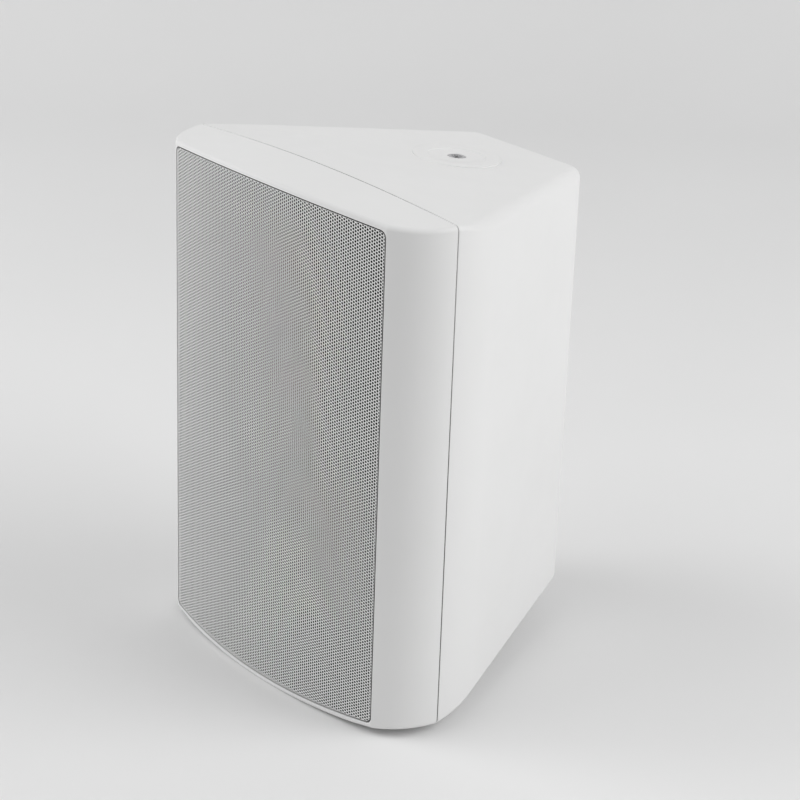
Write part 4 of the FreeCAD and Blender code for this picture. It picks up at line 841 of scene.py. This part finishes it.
def rough_up(finish, scale, depth, texture=None):
    """Bumps of a given depth in metres."""
    nodes, links = finish.node_tree.nodes, finish.node_tree.links
    bump = nodes.new("ShaderNodeBump")
    bump.inputs["Strength"].default_value = 1.0
    bump.inputs["Distance"].default_value = depth
    source = texture or grain(finish, scale, detail=3.0)
    links.new(source.outputs["Fac"], bump.inputs["Height"])
    links.new(bump.outputs["Normal"], nodes["Principled BSDF"].inputs["Normal"])


def wound_lines(finish, scale):
    """Fine parallel lines, as on wound wire."""
    nodes, links = finish.node_tree.nodes, finish.node_tree.links
    wave = nodes.new("ShaderNodeTexWave")
    wave.wave_type, wave.bands_direction = "BANDS", "Y"
    wave.inputs["Scale"].default_value = scale
    links.new(nodes.new("ShaderNodeTexCoord").outputs["Object"], wave.inputs["Vector"])
    return wave


finishes = {}

# %% [markdown]
# ### White mouldings
#
# The enclosure is moulded in white plastic with a fine satin texture: no mirror reflections, but a soft sheen on
# rounded edges. The grille's paint is a little brighter and rougher, and its holes do the rest.

# %% White plastic and white paint
white = new_finish("white_plastic", specular_ior_level=0.4)
tint(white, 9.0, (0.80, 0.80, 0.797), (0.82, 0.82, 0.818))
gloss(white, 60.0, 0.36, 0.46)
rough_up(white, 1400.0, 0.00002)
finishes["enclosure_white"] = white

paint = new_finish("white_grille_paint", specular_ior_level=0.35)
tint(paint, 14.0, (0.88, 0.88, 0.878), (0.9, 0.9, 0.898))
gloss(paint, 90.0, 0.45, 0.6)
rough_up(paint, 3000.0, 0.000015)
finishes["grille_white"] = paint
print("white finishes", len(finishes))

# %% [markdown]
# ### Foam, cloth and paper
#
# Behind the holes lies black open-cell foam. The woofer's cone is pressed paper, its spider a woven cloth
# stiffened with resin, and the damping pads are felt. None of them shines, so their sheen is low and their bumps
# are coarse.

# %% Soft and fibrous finishes
foam = new_finish("black_foam", specular_ior_level=0.15)
tint(foam, 700.0, (0.006, 0.006, 0.0065), (0.02, 0.02, 0.021))
gloss(foam, 300.0, 0.9, 1.0)
rough_up(foam, 1500.0, 0.0004)
finishes["foam_black"] = foam

cone = new_finish("pressed_paper", specular_ior_level=0.25)
tint(cone, 120.0, (0.05, 0.05, 0.052), (0.09, 0.09, 0.092))
gloss(cone, 200.0, 0.7, 0.85)
rough_up(cone, 900.0, 0.0002)
finishes["cone_grey"] = cone

spider = new_finish("stiffened_cloth", specular_ior_level=0.2)
tint(spider, 900.0, (0.35, 0.22, 0.09), (0.5, 0.34, 0.16))
gloss(spider, 500.0, 0.75, 0.9)
rough_up(spider, 1800.0, 0.0003)
finishes["spider_cloth"] = spider

dome = new_finish("coated_silk", specular_ior_level=0.3)
tint(dome, 1500.0, (0.012, 0.012, 0.014), (0.03, 0.03, 0.034))
gloss(dome, 600.0, 0.5, 0.65)
rough_up(dome, 4000.0, 0.00006)
finishes["dome_cloth"] = dome

felt = new_finish("grey_felt", specular_ior_level=0.1)
tint(felt, 400.0, (0.2, 0.2, 0.205), (0.36, 0.36, 0.365))
gloss(felt, 300.0, 0.9, 1.0)
rough_up(felt, 900.0, 0.0008)
finishes["felt_grey"] = felt
print("soft finishes", len(finishes) - 2)

# %% [markdown]
# ### Metals
#
# The insert and the screws are zinc-plated steel, the terminal contacts nickel. Plated metal is seldom even: its
# gloss changes from spot to spot. Wound copper shows the lines of its wire. The magnets are fired ferrite, a dull
# ceramic.

# %% Steel, nickel, copper and ferrite
for slot, name, dark, light, low, high in (
    ("insert_steel", "turned_steel", (0.52, 0.52, 0.53), (0.66, 0.66, 0.67), 0.2, 0.34),
    ("screw_steel", "plated_screws", (0.42, 0.42, 0.43), (0.55, 0.55, 0.56), 0.28, 0.42),
    ("plate_steel", "pressed_plates", (0.36, 0.36, 0.37), (0.5, 0.5, 0.51), 0.35, 0.5),
    ("contact_nickel", "nickel_contacts", (0.6, 0.58, 0.54), (0.72, 0.7, 0.66), 0.2, 0.32),
    ("coil_copper", "copper_wire", (0.5, 0.2, 0.08), (0.72, 0.33, 0.15), 0.25, 0.4),
):
    metal = new_finish(name, metallic=1.0)
    tint(metal, 350.0, dark, light)
    gloss(metal, 500.0, low, high)
    if slot == "coil_copper":
        rough_up(metal, 0.0, 0.0002, texture=wound_lines(metal, 700.0))
    else:
        rough_up(metal, 2500.0, 0.00002)
    finishes[slot] = metal

ferrite = new_finish("fired_ferrite", specular_ior_level=0.3)
tint(ferrite, 150.0, (0.035, 0.035, 0.037), (0.065, 0.065, 0.067))
gloss(ferrite, 250.0, 0.55, 0.75)
rough_up(ferrite, 1100.0, 0.00015)
finishes["ferrite_grey"] = ferrite
print("finishes so far", len(finishes))

# %% [markdown]
# ### Plastics and rubber
#
# Driver frames, ports and the terminal dish are black plastic with a fine matt texture. The levers are smoother,
# because fingers press them. The surround is rubber: darker, softer in its sheen, and slightly uneven.

# %% Black parts, levers and the crossover
for slot, name, dark, light, low, high, size, depth in (
    ("basket_black", "basket_plastic", (0.018, 0.018, 0.019), (0.03, 0.03, 0.031), 0.5, 0.65, 1600.0, 0.00004),
    ("tweeter_black", "horn_plastic", (0.02, 0.02, 0.021), (0.032, 0.032, 0.033), 0.4, 0.52, 2000.0, 0.00002),
    ("port_black", "port_plastic", (0.018, 0.018, 0.018), (0.03, 0.03, 0.03), 0.48, 0.62, 1800.0, 0.00003),
    ("terminal_black", "terminal_plastic", (0.02, 0.02, 0.02), (0.034, 0.034, 0.034), 0.42, 0.56, 1800.0, 0.00004),
    ("rubber_black", "soft_rubber", (0.012, 0.012, 0.012), (0.025, 0.025, 0.025), 0.6, 0.75, 700.0, 0.00008),
    ("lever_red", "red_lever_plastic", (0.5, 0.016, 0.014), (0.58, 0.024, 0.02), 0.28, 0.38, 1500.0, 0.00002),
    ("lever_black", "black_lever_plastic", (0.016, 0.016, 0.016), (0.026, 0.026, 0.026), 0.28, 0.38, 1500.0, 0.00002),
    ("board_green", "coated_board", (0.012, 0.10, 0.04), (0.02, 0.15, 0.06), 0.3, 0.42, 1200.0, 0.00003),
    ("capacitor_yellow", "capacitor_film", (0.62, 0.42, 0.05), (0.72, 0.5, 0.07), 0.25, 0.4, 900.0, 0.00004),
    ("resistor_white", "resistor_ceramic", (0.66, 0.65, 0.61), (0.76, 0.75, 0.71), 0.6, 0.8, 1500.0, 0.0001),
):
    plastic = new_finish(name, specular_ior_level=0.45)
    tint(plastic, 220.0, dark, light)
    gloss(plastic, 300.0, low, high)
    rough_up(plastic, size, depth)
    finishes[slot] = plastic
print("finishes", len(finishes))

# %% [markdown]
# ## Dressing the solids
#
# The record of the model says which finish each solid has. Solids that were drawn anew above are hidden by their
# skins, and all others keep their shape and get the finish of their slot.

# %% Put skins and finishes on
for skin, node in [(rear_shell, "rear_housing"), (front_shell, "front_bezel")]:
    skin.data.materials.append(finishes["enclosure_white"])
    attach(skin, "enclosure")
    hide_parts(node)
for skin in grille_panels + [grille_edge]:
    skin.data.materials.append(finishes["grille_white"])
    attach(skin, "enclosure")
    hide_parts("grille")
# The black tape round the grille is painted shade.
shade_tape.data.materials.append(finishes["foam_black"])
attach(shade_tape, "enclosure")
# The black edge in the seam is painted shade.
seam_shade_piece.data.materials.append(finishes["rubber_black"])
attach(seam_shade_piece, "enclosure")
for insert, node in [(insert_top, "bracket_insert_top"), (insert_bottom, "bracket_insert_bottom")]:
    insert.data.materials.append(finishes["insert_steel"])
    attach(insert, "enclosure")
    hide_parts(node)
for lever, colour in [(lever_red, "red"), (lever_black, "black")]:
    lever.data.materials.append(finishes["lever_" + colour])
    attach(lever, f"terminal_lever_{colour}_body")
    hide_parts("terminal_lever_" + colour)
material_of = {part["node"]: part["material_slot"] for part in frame["record"]["subparts"]}
for name, solid in frame["nodes"].items():
    solid.data.materials.clear()
    solid.data.materials.append(finishes[material_of[name]])
print("dressed", len(frame["nodes"]), "solids")

# %% [markdown]
# ## Studio
#
# The speaker stands on a pale floor that turns up into a backdrop. Two large soft lamps on the right light the
# side and the top. Two in front on the left, one low and one high, light the grille and the rim over it, and the
# pale room fills the rest. One lamp could do, but then the rim or the cheek would turn grey. A white speaker looks
# right when its lit side is just short of white.

# %% Floor and backdrop
floor_z = cad_box[0].z
floor_front, sweep_start, sweep_radius, wall_height, half_across = -4.0, 1.4, 0.8, 4.0, 5.0
profile = [(floor_front, 0.0)]
for turn_now in np.linspace(0, math.pi / 2, 14):
    profile.append((sweep_start + sweep_radius * math.sin(turn_now), sweep_radius * (1 - math.cos(turn_now))))
profile.append((sweep_start + sweep_radius, wall_height))
backdrop_points = []
for depth, height in profile:
    for across_now in (-half_across, half_across):
        point = Vector((-math.sin(azimuth), math.cos(azimuth), 0)) * depth + level_right * across_now
        backdrop_points.append((point.x, point.y, floor_z + height))
backdrop_faces = [(2 * k, 2 * k + 1, 2 * k + 3, 2 * k + 2) for k in range(len(profile) - 1)]
backdrop_mesh = bpy.data.meshes.new("studio_backdrop")
backdrop_mesh.from_pydata(backdrop_points, [], backdrop_faces)
backdrop_mesh.shade_smooth()
backdrop = bpy.data.objects.new("studio_backdrop", backdrop_mesh)
scene.collection.objects.link(backdrop)
pale = new_finish("pale_backdrop", specular_ior_level=0.1)
tint(pale, 2.0, (0.80, 0.80, 0.80), (0.82, 0.82, 0.82))
gloss(pale, 20.0, 0.8, 0.9)
backdrop_mesh.materials.append(pale)
print("floor at", round(floor_z, 4), "m")


# %% Lamps and surroundings
def soft_lamp(name, place, size, power):
    """A square lamp that faces the middle of the speaker."""
    light = bpy.data.lights.new(name, "AREA")
    light.shape, light.size, light.energy = "SQUARE", size, power
    lamp = bpy.data.objects.new(name, light)
    lamp.location = place
    lamp.rotation_mode = "QUATERNION"
    lamp.rotation_quaternion = Vector(place).to_track_quat("Z", "Y")
    scene.collection.objects.link(lamp)


def toward(turn_to, rise, distance=2.6):
    """A place in the room: degrees round from the speaker's right, degrees up, and metres away."""
    round_to, up_to = math.radians(turn_to), math.radians(rise)
    level = distance * math.cos(up_to)
    return (level * math.cos(round_to), level * math.sin(round_to), distance * math.sin(up_to))


soft_lamp("right_lamp", toward(30, 30), 1.8, 20.5)
soft_lamp("high_right_lamp", toward(37, 40), 1.8, 16.0)
soft_lamp("low_left_lamp", toward(-140, 18), 1.4, 19.0)
soft_lamp("high_left_lamp", toward(-122, 50), 1.8, 16.5)
world = bpy.data.worlds.new("pale_room")
world.use_nodes = True
scene.world = world
room = world.node_tree.nodes["Background"]
room.inputs["Color"].default_value = (1, 1, 1, 1)
room.inputs["Strength"].default_value = 0.4
